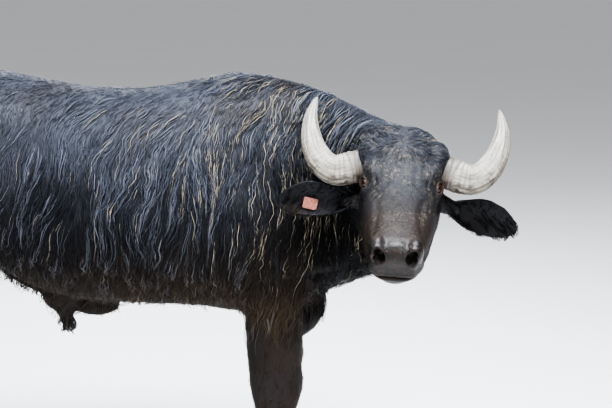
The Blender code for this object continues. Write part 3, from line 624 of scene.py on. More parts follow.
def leg_form(rows, side):
    """A leg's loft, whose sections lie across its slanting length."""
    rows = smooth_rows(rows)
    rings = []
    for i, (z, x, y, half_length, half_width) in enumerate(rows):
        ahead, behind = neighbours(rows, i)
        down = Vector((ahead[1] - behind[1], 0, ahead[0] - behind[0])).normalized()
        fore = Vector((-down.z, 0, down.x))
        rings.append(ring(Vector((x, y * side, z)), LEFT * side, fore, half_width, half_length))
    return loft("leg", rings)


def sheath_form():
    rings = []
    for x, z, radius in SHEATH:
        rings.append(ring(Vector((x, 0, z)), LEFT, AHEAD, radius * 0.85, radius, count=24))
    return loft("sheath", rings)


def tail_form():
    rows = smooth_rows(TAIL)
    rings = []
    for i, (x, z, radius) in enumerate(rows):
        ahead, behind = neighbours(rows, i)
        down = Vector((ahead[0] - behind[0], 0, ahead[1] - behind[1])).normalized()
        fore = Vector((-down.z, 0, down.x))
        rings.append(ring(Vector((x, 0, z)), LEFT, fore, radius, radius, square=2.0, count=16))
    rings.insert(0, [p + Vector((0.08, 0, 0.0)) for p in rings[0]])
    return loft("tail", rings)


def mirrored(point, side):
    return Vector((point.x, point.y * side, point.z))


def offset_from(local, place, side):
    """How far points lie from a place that is mirrored to one side of the head."""
    return local - np.array(mirrored(place, side))


def horn_axes(side):
    """The horn's out, up and back directions in the head's frame."""
    out = Vector((0, side, 0))
    up = Vector((-math.sin(HORN_LEAN), 0, math.cos(HORN_LEAN)))
    back = Vector((-math.cos(HORN_LEAN), 0, -math.sin(HORN_LEAN)))
    return out, up, back


def horn_rings(side, rows, count=12):
    """Sections of a horn, flattened from front to back."""
    out, up, back = horn_axes(side)
    root = mirrored(HORN_ROOT, side)
    places = [root + out * o + up * u + back * b for o, u, b, _, _ in rows]
    rings = []
    for i, (_, _, _, deep, thick) in enumerate(rows):
        ahead, behind = neighbours(places, i)
        along = (ahead - behind).normalized() if i else out
        in_plane = along.cross(back).normalized()
        through = in_plane.cross(along).normalized()
        rings.append(ring(places[i], in_plane, through, deep, thick, 0.12, 2.3, count))
    return rings


def horn_boss(side):
    """The hairy base that the horn grows from."""
    root = mirrored(HORN_ROOT, side)
    face = horn_rings(side, HORN[:2], 32)[0]
    rings = []
    for inward, swell in ((0.060, 1.24), (0.024, 1.24), (0.004, 1.19), (-0.006, 1.10)):
        rings.append([root + (p - root) * swell - Vector((0, side * inward, 0)) for p in face])
    return loft("boss", rings)


def ear_axes(side):
    """The ear's length, its lower edge's direction and the way that its cup opens."""
    along = EAR_REACH[side].normalized()
    opens = Vector((0.75, 0.0, 0.36))
    opens = (opens - along * opens.dot(along)).normalized()
    return along, along.cross(opens).normalized(), opens


def ear_profile(share, half, roll_degrees, side, inset, count=17):
    """One row of points across the ear's wall, from edge to edge."""
    along, edge, opens = ear_axes(side)
    roll = math.radians(roll_degrees)
    radius = half / roll
    centre = EAR_ROOT[side] + along * (share * EAR_LENGTH) + Vector((0, 0, 0.05 * share * (1 - share)))
    points = []
    reach = radius - inset
    for i in range(count):
        turn = roll * (2 * i / (count - 1) - 1)
        across, deep = reach * math.sin(turn), radius - reach * math.cos(turn)
        points.append(centre + edge * across + opens * deep)
    return points


def ear_form(side):
    """The ear's cup: an outer and an inner wall that meet at the rim."""
    rings = []
    for share, half, roll in smooth_rows(EAR, 5):
        outer = ear_profile(share, half, roll, side, 0.0)
        wall = min(EAR_WALL, half * 0.35)
        inner = ear_profile(share, half, roll, side, wall)
        rings.append(outer + inner[::-1])
    return loft("ear", rings)


def ear_stalk(side):
    """The ear's root, from inside the head up into the cup."""
    along, edge, opens = ear_axes(side)
    rings = []
    for t, radius in EAR_STALK:
        centre = EAR_ROOT[side] + along * t + opens * 0.016
        rings.append(ring(centre, edge, opens, radius, radius * 0.88, count=24))
    return loft("stalk", rings)


def eye_ball(side, radius, fine=20):
    """A sphere at the eye, its poles along the way that it looks."""
    deselect()
    bpy.ops.mesh.primitive_uv_sphere_add(segments=2 * fine, ring_count=fine, radius=radius)
    obj = bpy.context.object
    aim = mirrored(EYE_AIM, side).to_track_quat("Z", "Y").to_matrix().to_4x4()
    obj.data.transform(Matrix.Translation(mirrored(EYE_PLACE, side)) @ aim)
    return obj


def eye_axes(side):
    """The way the eye looks, its forward corner's direction and its upper lid's."""
    aim = mirrored(EYE_AIM, side)
    forward = (AHEAD - aim * aim.x).normalized()
    return aim, forward, forward.cross(aim) * -side


def lid_opening(side):
    """The almond between the lids, as a cutter that points out of the eye."""
    aim, forward, upward = eye_axes(side)
    rings = []
    for reach, swell in ((0.006, 0.96), (0.0225, 0.96), (0.028, 1.10), (0.050, 1.6)):
        centre = mirrored(EYE_PLACE, side) + aim * reach
        points = []
        for i in range(40):
            turn = 2 * math.pi * i / 40
            long = LID_LONG * swell * math.cos(turn)
            high = LID_HIGH * swell * math.sin(turn) * (1 - 0.25 * abs(math.cos(turn)))
            points.append(centre + forward * long + upward * high)
        rings.append(points)
    return loft("opening", rings)


def coat_depth(points):
    """How far the skin lies inside the outline that the coat's tips reach, on the body."""
    x, _, z = points.T
    flank = blended(-1.15, -0.80, x) * blended(0.50, 0.66, z)
    low_leg = 1 - blended(0.45, 0.62, z)
    back = blended(1.20, 1.30, z)
    depth = 0.004 + 0.008 * flank * (1 - back)
    return depth * (1 - 0.6 * low_leg)


def head_share(points):
    """1 on the head, easing to 0 in the neck."""
    local = in_head(points)
    inside = blended(-0.10, 0.02, local[:, 0]) * blended(0.34, 0.26, np.abs(local[:, 1]))
    return inside * blended(-0.40, -0.30, local[:, 2]) * blended(0.12, 0.06, local[:, 2])


def face_zone(points):
    """1 on the skin of the head itself, 0 on the neck beside it."""
    local = in_head(points)
    across = np.hypot(local[:, 1] / 0.165, (local[:, 2] + 0.11) / 0.165)
    return blended(1.12, 1.0, across) * blended(-0.07, 0.0, local[:, 0])


def rough_body():
    """Trunk, neck, legs, tail and head as one piece of many overlapping forms."""
    pieces = [upright_form("trunk", TRUNK, 2.2), neck_form(), sheath_form(), tail_form()]
    pieces += [leg_form(rows, side) for rows in (FORELEG, HINDLEG) for _, side in SIDES]
    pieces += both_sides(BODY_FORMS) + [ball(*form) for form in MIDLINE_FORMS]
    head = [upright_form("head", HEAD, 2.5)] + both_sides(HEAD_FORMS)
    head += [ball(*form) for form in HEAD_MIDLINE_FORMS]
    head += [horn_boss(side) for _, side in SIDES]
    for piece in head:
        piece.matrix_world = head_frame()
    return joined("skin", pieces + head)


def cut_soles(obj):
    """Takes away what the hooves stand for."""
    pick(obj)
    bpy.ops.object.mode_set(mode="EDIT")
    bpy.ops.mesh.select_all(action="SELECT")
    bpy.ops.mesh.bisect(
        plane_co=(0, 0, HOOF_HEIGHT - HOOF_OVERLAP), plane_no=UP, use_fill=True, clear_inner=True
    )
    bpy.ops.object.mode_set(mode="OBJECT")


def refine(obj, inside):
    """Splits the faces whose corners all lie inside, which takes points and gives a choice for each."""
    chosen = inside(points_of(obj))
    bm = bmesh.new()
    bm.from_mesh(obj.data)
    bm.verts.ensure_lookup_table()
    edges = [e for e in bm.edges if chosen[e.verts[0].index] and chosen[e.verts[1].index]]
    bmesh.ops.subdivide_edges(bm, edges=edges, cuts=1, smooth=0.0, use_grid_fill=True)
    bmesh.ops.triangulate(bm, faces=bm.faces)
    bm.to_mesh(obj.data)
    bm.free()


def around_features(reach):
    """A choice of points within a reach of the eyes, the nostrils and the mouth."""

    def inside(points):
        local = in_head(points)
        chosen = np.zeros(len(points), bool)
        for _, side in SIDES:
            for centre, share in ((EYE_PLACE, 1.0), (NOSTRIL[0], 0.9)):
                away = np.linalg.norm(offset_from(local, centre, side), axis=1)
                chosen |= away < reach * share
        mouth = np.abs(mouth_distance(local)[0]) < reach * 0.30
        return chosen | (mouth & (local[:, 0] > 0.33) & (np.abs(local[:, 1]) < 0.14))

    return inside


def mouth_distance(local):
    """How far points lie above the line of the mouth, and how much of it there is beside them."""
    angle = np.arctan2(local[:, 1], local[:, 0] - MOUTH_PLACE)
    line = MOUTH_HEIGHT + 0.014 * (1 - np.cos(angle))
    share = 1 - blended(math.radians(85), math.radians(105), np.abs(angle))
    return local[:, 2] - line, share * blended(-0.20, -0.18, local[:, 2])


def snapped(points, surface):
    """Points of a line on the surface, through the given ones."""
    return [surface.find_nearest(Vector(point))[0] for point in smooth_rows(points, 4)]


def distance_to_line(points, line):
    """The distance from each point to the nearest stretch of a line."""
    best = np.full(len(points), 9.0)
    for a, b in zip(line, line[1:]):
        a, b = np.array(a), np.array(b)
        along = b - a
        t = np.clip((points - a) @ along / max(along @ along, 1e-9), 0, 1)
        best = np.minimum(best, np.linalg.norm(points - a - t[:, None] * along, axis=1))
    return best


def nostril_share(local, side):
    """The distance from a nostril's middle, as a share of its comma's own size."""
    centre, turn, half_width, half_height = NOSTRIL[:4]
    offset = offset_from(local, centre, side)
    outward, up = offset[:, 1] * side, offset[:, 2]
    c, s = math.cos(math.radians(turn)), math.sin(math.radians(turn))
    across, high = outward * c + up * s, up * c - outward * s
    bowl = np.hypot(across / half_width, high / half_height)
    comma = np.hypot((across - 0.012) / (half_width * 0.7), (high - 0.012) / (half_height * 0.55))
    return np.minimum(bowl, comma) + blended(0.022, 0.040, np.abs(offset[:, 0])) * 9


def press_creases(obj, local, normals, on_head, moves):
    """Adds the creases of both sides to the moves of the head's points."""
    surface = BVHTree.FromPolygons([Vector(p) for p in local], [f.vertices for f in obj.data.polygons])
    for points, width, depth in HEAD_CREASES:
        for _, side in SIDES:
            line = snapped([(x, y * side, z) for x, y, z in points], surface)
            share = np.exp(-((distance_to_line(local[on_head], line) / width) ** 2))
            moves[on_head] -= normals[on_head] * (share * depth)[:, None]


def press_nostrils(local, normals, moves):
    """Adds the nostrils and their swollen rims to the moves of the points."""
    for _, side in SIDES:
        away = nostril_share(local, side)
        way = np.array((-0.92, -0.18 * side, 0.16))
        moves += way * ((1 - blended(0.55, 1.05, away)) * NOSTRIL[4])[:, None]
        moves += normals * (near(away, 1.35, 0.30) * NOSTRIL[5])[:, None]


def lip_swell(local, on_head):
    """How far the lips stand out, and the line between them in."""
    above, share = mouth_distance(local)
    muzzle = share * blended(0.30, 0.36, local[:, 0]) * on_head
    groove = near(above, 0, MOUTH_WIDTH) * MOUTH_DEPTH
    lips = (near(above, 0.010, 0.006) + near(above, -0.010, 0.006)) * 0.0022
    return muzzle * (lips - groove)


def fold_swell(local, on_head):
    """How far the folds across the bridge of the nose stand out or in."""
    first, last, spacing, depth = NOSE_FOLDS
    bridge = blended(first - 0.02, first + 0.02, local[:, 0])
    bridge = bridge * blended(last + 0.02, last - 0.01, local[:, 0])
    bridge *= blended(-0.055, -0.030, local[:, 2]) * on_head
    wobble = noise(local, 0.03, 3) * 0.6
    folds = np.sin(2 * math.pi * local[:, 0] / spacing + wobble * 2) * depth
    return bridge * folds


def carve_face(obj):
    """Shapes the creases, the lips, the nose's folds and the nostrils, and roughens the brow."""
    local = in_head(points_of(obj))
    normals = normals_of(obj) @ head_turn().T
    share = head_share(points_of(obj))
    on_head = share > 0.02
    moves = np.zeros_like(local)
    press_creases(obj, local, normals, on_head, moves)
    moves += normals * lip_swell(local, share > 0.5)[:, None]
    moves += normals * fold_swell(local, on_head)[:, None]
    press_nostrils(local, normals, moves)
    brow = on_head * blended(0.22, 0.12, local[:, 0])
    moves += normals * (brow * noise(local, 0.022, 7) * 0.0018)[:, None]
    move_in_head(obj, moves)


def ease_joints(obj):
    """Smooths the skin where the ears grow from the head."""
    local = in_head(points_of(obj))
    weights = np.zeros(len(local))
    for _, side in SIDES:
        root = np.array(EAR_ROOT[side] - ear_axes(side)[0] * 0.030)
        weights = np.maximum(weights, 1 - blended(0.030, 0.050, np.linalg.norm(local - root, axis=1)))
    smoothed(obj, 8, weigh(obj, "joints", weights))


def hollow_eyes(obj):
    """Draws the skin in to the lids, in the way that each eye looks."""
    local = in_head(points_of(obj))
    moves = np.zeros_like(local)
    for _, side in SIDES:
        offset = offset_from(local, EYE_PLACE, side)
        away = np.linalg.norm(offset, axis=1)
        facing = offset @ np.array(mirrored(EYE_AIM, side)) / np.maximum(away, 1e-6)
        share = blended(0.42, 0.88, facing) * blended(0.085, 0.050, away)
        reach = EYE_RADIUS + LID_THICKNESS - 0.0015
        moves += offset * (np.minimum(reach / np.maximum(away, 1e-6) - 1, 0) * share)[:, None]
    move_in_head(obj, moves)


def add_ears_and_lids(obj):
    """Joins the ears to the head and opens the lids round sockets for the eyes."""
    additions, openings, sockets = [], [], []
    for _, side in SIDES:
        additions += [ear_form(side), ear_stalk(side), eye_ball(side, EYE_RADIUS + LID_THICKNESS)]
        openings.append(lid_opening(side))
        sockets.append(eye_ball(side, EYE_RADIUS + 0.0002))
    for piece in additions + openings + sockets:
        piece.data.transform(head_frame())
    combined(obj, additions, "UNION", "MANIFOLD")
    combined(obj, openings, "DIFFERENCE", "MANIFOLD")
    combined(obj, sockets, "DIFFERENCE", "MANIFOLD")


def mark_skin(obj):
    """The attributes that the hide's material reads."""
    points, local = points_of(obj), in_head(points_of(obj))
    on_head = head_share(points)
    pad = blended(0.455, 0.485, local[:, 0]) * blended(-0.135, -0.118, local[:, 2])
    pad = np.maximum(pad, blended(0.47, 0.495, local[:, 0]))
    lids = np.zeros(len(points))
    bare = np.zeros(len(points))
    for _, side in SIDES:
        aim, forward, upward = eye_axes(side)
        offset = offset_from(local, EYE_PLACE, side)
        share = np.hypot(offset @ np.array(forward) / LID_LONG, offset @ np.array(upward) / LID_HIGH)
        ahead = blended(0.0, 0.010, offset @ np.array(aim))
        lids = np.maximum(lids, ahead * blended(1.16, 0.98, share))
        bare = np.maximum(bare, ahead * blended(2.1, 1.4, share))
        pad = np.maximum(pad, blended(1.6, 1.1, nostril_share(local, side)))
    marks = {
        "wet": pad * on_head,
        "lid": lids,
        "bare": np.maximum(bare, pad * on_head),
        "face": face_zone(points),
        "mud": mud_share(points),
        "brown": brown_share(points),
        # Pale dust and a painted sheen of the sky on what faces up
        "dust": dust_and_sheen_share(points, normals_of(obj)),
    }
    for name, values in marks.items():
        attribute(obj, name, values)


def mud_share(points):
    """How much dried mud lies on the coat: most on the shoulder, the hump and the neck."""
    x, _, z = points.T
    local = in_head(points)
    shoulder = 0.45 * blended(0.66, 0.90, z) + 0.55 * blended(0.95, 1.08, z)
    shoulder = blended(-0.28, 0.06, x) * shoulder
    flank = 0.12 * blended(-1.2, -0.4, x) * blended(0.60, 0.72, z) * (x < 0.1)
    middle = near(local[:, 0], 0.19, 0.05) * near(local[:, 1], 0.0, 0.03)
    beside = near(local[:, 0], 0.33, 0.10) * near(np.abs(local[:, 1]), 0.07, 0.025)
    face = face_zone(points) * np.clip(0.20 + middle + beside, 0, 1)
    lumps = noise(points, 0.06, 11) + 0.45 * noise(points, 0.02, 12)
    patches = 0.25 + 0.75 * blended(-0.35, 0.65, lumps)
    return np.clip(np.maximum(np.maximum(shoulder, flank), 0.8 * face) * patches, 0, 1)


def brown_share(points):
    """How brown the hair is: on the rump, belly, legs, muzzle and above all the knees."""
    x, _, z = points.T
    knee = near(z, 0.33, 0.13) * blended(0.06, 0.14, x)
    rump = 0.55 * blended(-0.55, -1.00, x) * blended(0.45, 0.65, z)
    legs = 0.75 * blended(0.62, 0.50, z)
    flank = 0.9 * near(z, 0.66, 0.16) * blended(0.30, 0.10, x)
    flank = np.maximum(flank, 0.6 * blended(0.25, 0.65, noise(points, 0.16, 23)) * (x < 0.2))
    mottled = 0.75 + 0.35 * noise(points, 0.09, 21)
    muzzle = 0.8 * face_zone(points) * blended(0.24, 0.40, in_head(points)[:, 0])
    return np.clip(np.maximum.reduce((knee, rump, legs, flank, muzzle)) * mottled, 0, 1)


def throat_shade(points):
    """Painted shade: where the hair is made blackest, on the throat and the lower part of the neck."""
    x, _, z = points.T
    return blended(0.02, 0.20, x) * blended(1.12, 0.98, z)


def dust_and_sheen_share(points, normals):
    """How much pale dust, and painted bluish sheen of the sky, lies on what faces up and high on the
    body.
    """
    # Painted sheen: lighter the more a face looks up and the higher it lies, less in the throat's
    # painted shade.
    upward = 0.45 + 0.55 * blended(0.0, 0.75, normals[:, 2])
    behind = (1 - 0.35 * blended(-0.05, 0.20, points[:, 0])) * (1 - 0.8 * throat_shade(points))
    mottled = 0.70 + 0.3 * noise(points, 0.08, 31)
    return upward * behind * blended(0.72, 1.16, points[:, 2]) * mottled


def unwrap(obj):
    """An unwrap of the skin's own shape, on which its coat finds its colours too."""
    pick(obj)
    obj.data.uv_layers.new(name="OFBake")
    bpy.ops.object.mode_set(mode="EDIT")
    bpy.ops.mesh.select_all(action="SELECT")
    bpy.ops.uv.smart_project(angle_limit=math.radians(66), island_margin=0.003)
    bpy.ops.object.mode_set(mode="OBJECT")


def skin(settings):
    """The whole hide, from the muzzle to the tail, in one piece."""
    obj = rough_body()
    apply_modifier(obj, "REMESH", mode="VOXEL", voxel_size=settings.voxel)
    obj = keep_largest(obj)
    smoothed(obj, settings.head_rounds)
    on_head = head_share(points_of(obj))
    group = weigh(obj, "body", 1 - on_head)
    smoothed(obj, settings.body_rounds, group)
    x, _, z = points_of(obj).T
    upper = weigh(obj, "upper", (1 - on_head) * blended(0.64, 0.76, z) * blended(-1.36, -1.33, x))
    smoothed(obj, settings.soft_rounds, upper)
    points = points_of(obj)
    inset = np.where(on_head > 0, 0.0015 + 0.0065 * (1 - on_head) ** 2, coat_depth(points))
    set_points(obj, points - normals_of(obj) * inset[:, None])
    faces = 2 * len(obj.data.polygons)
    apply_modifier(
        obj, "DECIMATE", ratio=settings.faces / faces, vertex_group=group, vertex_group_factor=4.0
    )
    cut_soles(obj)
    hollow_eyes(obj)
    add_ears_and_lids(obj)
    obj = keep_largest(obj)
    for reach in FEATURE_REACHES:
        refine(obj, around_features(reach))
    carve_face(obj)
    ease_joints(obj)
    unwrap(obj)
    mark_skin(obj)
    obj.vertex_groups.clear()
    bpy.ops.object.shade_smooth_by_angle(angle=math.radians(60))
    obj.name = "hide"
    return obj


def long_share(points, normals):
    """Where the long coat grows: from the hip to the neck, and down to the elbows."""
    x, _, z = points.T
    body = blended(-1.18, -1.00, x) * blended(0.55, 0.62, z) * blended(-0.97, -0.70, normals[:, 2])
    thigh = 1 - blended(-0.78, -0.86, x) * blended(0.80, 0.66, z)
    sheath = 1 - near(x, -0.55, 0.13) * blended(0.70, 0.64, z)
    off_face = (1 - blended(0.2, 0.7, face_zone(points))) * ~on_ear(points)
    return body * thigh * sheath * off_face + BARELY


def on_ear(points):
    """True on the ears' cups."""
    local = in_head(points)
    chosen = np.zeros(len(points), bool)
    for _, side in SIDES:
        along, edge, opens = (np.array(axis) for axis in ear_axes(side))
        offset = local - np.array(EAR_ROOT[side])
        length, forward = offset @ along, offset @ opens
        near_wall = (forward > -0.014) & (forward < 0.065) & (np.abs(offset @ edge) < 0.080)
        chosen |= near_wall & (length > -0.01) & (length < EAR_LENGTH + 0.02)
    return chosen


def slice_share(low, high, side, growing):
    """The coat of one side of the body between two places along it."""

    def share(points, normals):
        kept = (points[:, 0] >= low) & (points[:, 0] < high) & (points[:, 1] * side > 0)
        return growing(points, normals) * kept

    return share


def strand_share(points, normals):
    """Where the long strands stand out of the coat: all over the sides, few on the back."""
    x, _, z = points.T
    back = 1 - 0.8 * blended(1.15, 1.28, z) * blended(-0.05, -0.25, x)
    patches = 0.25 + 0.75 * blended(-0.35, 0.35, noise(points, 0.10, 77))
    return long_share(points, normals) * back * patches * (1 - 0.7 * blended(-0.85, -1.1, x))


def strand_length(points):
    """The length of the long strands: longest on the flank and shoulder."""
    x, _, z = points.T
    base = 0.150 + 0.05 * noise(points, 0.05, 71)
    base = base * (1 - 0.40 * blended(0.78, 0.62, z)) * (1 - 0.35 * blended(1.22, 1.33, z))
    return base * (1 - 0.55 * blended(-0.80, -1.10, x))


def under_length(points):
    """The length of the coat between the strands: short along the back and the rump."""
    x, _, z = points.T
    base = 0.070 * (1 - 0.60 * blended(1.05, 1.25, z) * blended(0.15, -0.10, x))
    return base * (1 - 0.50 * blended(-0.75, -1.05, x)) * (1 - 0.3 * blended(0.75, 0.62, z))


def short_share(points, normals):
    """Where the short coat grows: the rump, thighs, legs, belly and tail."""
    body = (1 - np.minimum(long_share(points, normals), 1)) * (1 - face_zone(points))
    return body * ~on_ear(points) + BARELY


def short_length(points):
    """The length of the short coat: longer on the thigh, shortest on the legs."""
    z = points[:, 2]
    return 0.016 + 0.024 * blended(0.55, 0.95, z) + 0.010 * blended(0.24, 0.36, z)


def face_share(points, normals):
    """Where the hair of the head grows: thickest on the poll, none on the muzzle and lids."""
    local = in_head(points)
    bare = blended(0.44, 0.40, local[:, 0])
    for _, side in SIDES:
        away = np.linalg.norm(offset_from(local, EYE_PLACE, side), axis=1)
        bare = bare * blended(0.028, 0.040, away)
    thick = 0.35 + blended(0.22, 0.10, local[:, 0])
    return face_zone(points) * bare * thick * ~on_ear(points) + BARELY


def face_length(points):
    local = in_head(points)
    return 0.007 + 0.020 * blended(0.21, 0.07, local[:, 0])


def ear_share(points, normals):
    return on_ear(points) + BARELY


def switch_share(points, normals):
    """The lower part of the tail."""
    return (points[:, 0] < -1.36) & (points[:, 2] < 0.66)


def sheath_share(points, normals):
    """The tip of the sheath."""
    x, z, _ = SHEATH[-1]
    return np.linalg.norm(points - np.array((x, 0, z)), axis=1) < 0.05


class Ground:
    """The skin as the coat needs it: where hairs root, what they lie on, and its unwrap."""

    def __init__(self, obj):
        mesh = obj.data
        mesh.calc_loop_triangles()
        count = len(mesh.loop_triangles)
        corners = np.empty(count * 3, np.int32)
        mesh.loop_triangles.foreach_get("vertices", corners)
        loops = np.empty(count * 3, np.int32)
        mesh.loop_triangles.foreach_get("loops", loops)
        flat = np.empty(len(mesh.loops) * 2, np.float32)
        mesh.uv_layers["OFBake"].data.foreach_get("uv", flat)
        self.corners = corners.reshape(-1, 3)
        self.points = points_of(obj) - np.array(SHIFT)
        self.normals = normals_of(obj)
        self.places = flat.reshape(-1, 2)[loops].reshape(-1, 3, 2)
        a, b, c = (self.points[self.corners[:, k]] for k in range(3))
        self.areas = np.linalg.norm(np.cross(b - a, c - a), axis=1) / 2
        self.middles = (a + b + c) / 3
        self.outward = self.normals[self.corners].mean(axis=1)
        self.tree = BVHTree.FromPolygons(self.points.tolist(), self.corners.tolist())

    def roots(self, share, count, draw):
        """Places, ways out and places on the unwrap for that many hairs, spread by share."""
        weights = self.areas * share(self.middles, self.outward)
        chosen = draw.choice(len(weights), size=count, p=weights / weights.sum())
        first, second = draw.random(count), draw.random(count)
        over = first + second > 1
        first[over], second[over] = 1 - first[over], 1 - second[over]
        mix = np.stack((1 - first - second, first, second), axis=1)[:, :, None]
        corners = self.corners[chosen]
        normals = (self.normals[corners] * mix).sum(axis=1)
        normals /= np.linalg.norm(normals, axis=1, keepdims=True)
        places = (self.points[corners] * mix).sum(axis=1)
        return places, normals, (self.places[chosen] * mix).sum(axis=1)

    def nearest(self, points):
        """The nearest places on the skin, and their ways out."""
        places, normals = np.empty_like(points), np.empty_like(points)
        for i, point in enumerate(points):
            place, _, face, _ = self.tree.find_nearest(point)
            places[i] = place
            normals[i] = self.outward[face]
        return places, normals / np.linalg.norm(normals, axis=1, keepdims=True)


def even(length):
    """A length that is the same for every hair."""
    return lambda points: np.full(len(points), length)


def switch_length(points):
    """The length of the tail's hairs, which end at about one height."""
    return np.clip(points[:, 2] - 0.44, 0.05, 0.20)


def unit(vectors):
    return vectors / np.maximum(np.linalg.norm(vectors, axis=1, keepdims=True), 1e-9)


def stray(points, size, seed):
    """A smooth random way at each point."""
    return np.stack([noise(points, size, seed + k) for k in range(3)], axis=1)


def body_lie(points, normals):
    """The way the coat lies on the body: down from a parted back, a little to the rear."""
    top = blended(0.45, 0.95, normals[:, 2])[:, None]
    neck = blended(0.15, 0.30, points[:, 0])[:, None]
    apart = np.sign(points[:, 1])[:, None] * np.array((0.0, 1.0, 0.0))
    level = unit(normals * np.array((1.0, 1.0, 0.0)))
    way = np.array((-0.20, 0.0, -1.0)) + (apart + (level - apart) * neck) * top * 0.9
    way = way + top * np.array((-0.9, 0, 0))
    rear = blended(-0.9, -1.3, points[:, 0])[:, None]
    way = way + rear * np.array((-0.35, 0, 0))
    return unit(way + stray(points, 0.07, 41) * 0.42)


def face_lie(points, normals):
    """The way the hair lies on the head: down the face from a whorl between the horns."""
    turn = np.array(head_frame())[:3, :3]
    local = in_head(points)
    swirl = blended(0.16, 0.06, local[:, 0])[:, None]
    outward = np.sign(local[:, 1])[:, None] * np.array((0.0, 1.0, 0.0))
    way = (1 - 1.7 * swirl) * np.array((1.0, 0.0, 0.0)) + outward * (0.35 + 0.5 * swirl)
    return unit((way + stray(points, 0.03, 51) * 0.5) @ turn.T)


def ear_lie(points, normals):
    """The way the hair lies on an ear: out along it, and down."""
    turn = np.array(head_frame())[:3, :3]
    local = in_head(points)
    side = np.sign(local[:, 1])
    along = np.where(side[:, None] > 0, np.array(EAR_REACH[1]), np.array(EAR_REACH[-1]))
    return unit((along * 0.7 + stray(points, 0.02, 61) * 0.4) @ turn.T + DOWN * 0.75)


def hanging_lie(points, normals):
    """Straight down, with each lock a little astray."""
    return unit(DOWN + stray(points, 0.02, 81) * 0.12)


def traced(ground, places, normals, lengths, rings, lie, rise, hang):
    """Paths of hairs that follow their lie over the skin, and hang free where it turns under."""
    paths, ups = [], []
    step = (lengths / (rings - 1))[:, None]
    free = np.zeros(len(places), bool)
    on_skin, height_at = places, rise(0.0)
    way = lie(places, normals)
    for k in range(rings):
        paths.append(on_skin + normals * height_at[:, None])
        ups.append(normals)
        turned = lie(on_skin, normals)
        turned[free] = DOWN
        way = unit(0.35 * way + 0.65 * turned)
        level = unit(way - normals * (way * normals).sum(axis=1, keepdims=True))
        way = np.where(free[:, None], way, level)
        ahead = on_skin + way * step * np.where(free[:, None], FRINGE, 1.0)
        held, out = ground.nearest(ahead)
        if hang:
            free |= (out[:, 2] < -0.35) & (normals[:, 2] > -0.8)
        on_skin = np.where(free[:, None], ahead, held)
        normals = np.where(free[:, None], normals, out)
        height_at = rise((k + 1) / (rings - 1))
    return np.stack(paths, axis=1), np.stack(ups, axis=1)


def gathered(paths, roots, guides, hold):
    """The hairs' paths drawn together towards the nearest of some guides among them."""
    tree = KDTree(len(guides))
    for i, guide in enumerate(guides):
        tree.insert(roots[guide], i)
    tree.balance()
    own = np.array([guides[tree.find(root)[1]] for root in roots])
    share = blended(0.0, 1.0, np.linspace(0, 1.05, paths.shape[1]))[None, :, None] * hold
    apart = (roots - roots[own])[:, None, :] * 0.12
    return paths * (1 - share) + (paths[own] + apart) * share, own


def waved(paths, ups, lengths, own, draw, height, wave):
    """The hairs' paths with the waves that each lock of them shares."""
    along = np.gradient(paths, axis=1)
    sideways = np.cross(along, ups)
    sideways /= np.maximum(np.linalg.norm(sideways, axis=2, keepdims=True), 1e-9)
    count = len(paths)
    phase = draw.random(count)[own] * 2 * math.pi + draw.normal(0, 0.35, count)
    size = height * (0.4 + 1.2 * draw.random(count)[own])
    pitch = wave * (0.75 + 0.5 * draw.random(count)[own])
    share = np.linspace(0, 1, paths.shape[1])[None, :]
    bend = np.sin(phase[:, None] + 2 * math.pi * share * lengths[:, None] / pitch[:, None])
    bend -= np.sin(phase)[:, None]
    paths = paths + sideways * (bend * size[:, None] * share**0.6)[:, :, None]
    quicker = pitch[:, None] * 0.8
    lift = np.sin(phase[:, None] * 1.7 + 2 * math.pi * share * lengths[:, None] / quicker)
    return paths + ups * ((lift + 1) * 0.5 * size[:, None] * share * 0.8)[:, :, None]


def hair_faces(rings):
    """The corners of one hair's sides and of its ends, counted from its own first vertex."""
    sides, ends = [], []
    for k in range(rings - 2):
        for i in range(3):
            j = (i + 1) % 3
            sides.append((3 * k + i, 3 * k + 3 + i, 3 * k + 3 + j, 3 * k + j))
    last = 3 * (rings - 2)
    for i in range(3):
        ends.append((last + (i + 1) % 3, last + i, last + 3))
    ends.append((0, 1, 2))
    return sides, ends


def hair_points(paths, ups, widths):
    """The vertices of thin tapered three-sided hairs: three at each ring and one at the tip."""
    count, rings = paths.shape[:2]
    along = unit(np.gradient(paths, axis=1).reshape(-1, 3)).reshape(paths.shape)
    sideways = unit(np.cross(along, ups).reshape(-1, 3)).reshape(paths.shape)
    above = np.cross(sideways, along)
    share = np.linspace(0, 1, rings)
    taper = np.minimum(0.55 + 2.2 * share, 1.0) * (1 - share**2.4) ** 0.9
    half = (widths[:, None] * taper[None, :] / 2)[:, :, None]
    edges = (paths - sideways * half, paths + sideways * half, paths + above * half * 0.75)
    body = np.stack(edges, axis=2)[:, :-1].reshape(count, -1, 3)
    return np.concatenate((body, paths[:, -1:, :]), axis=1)


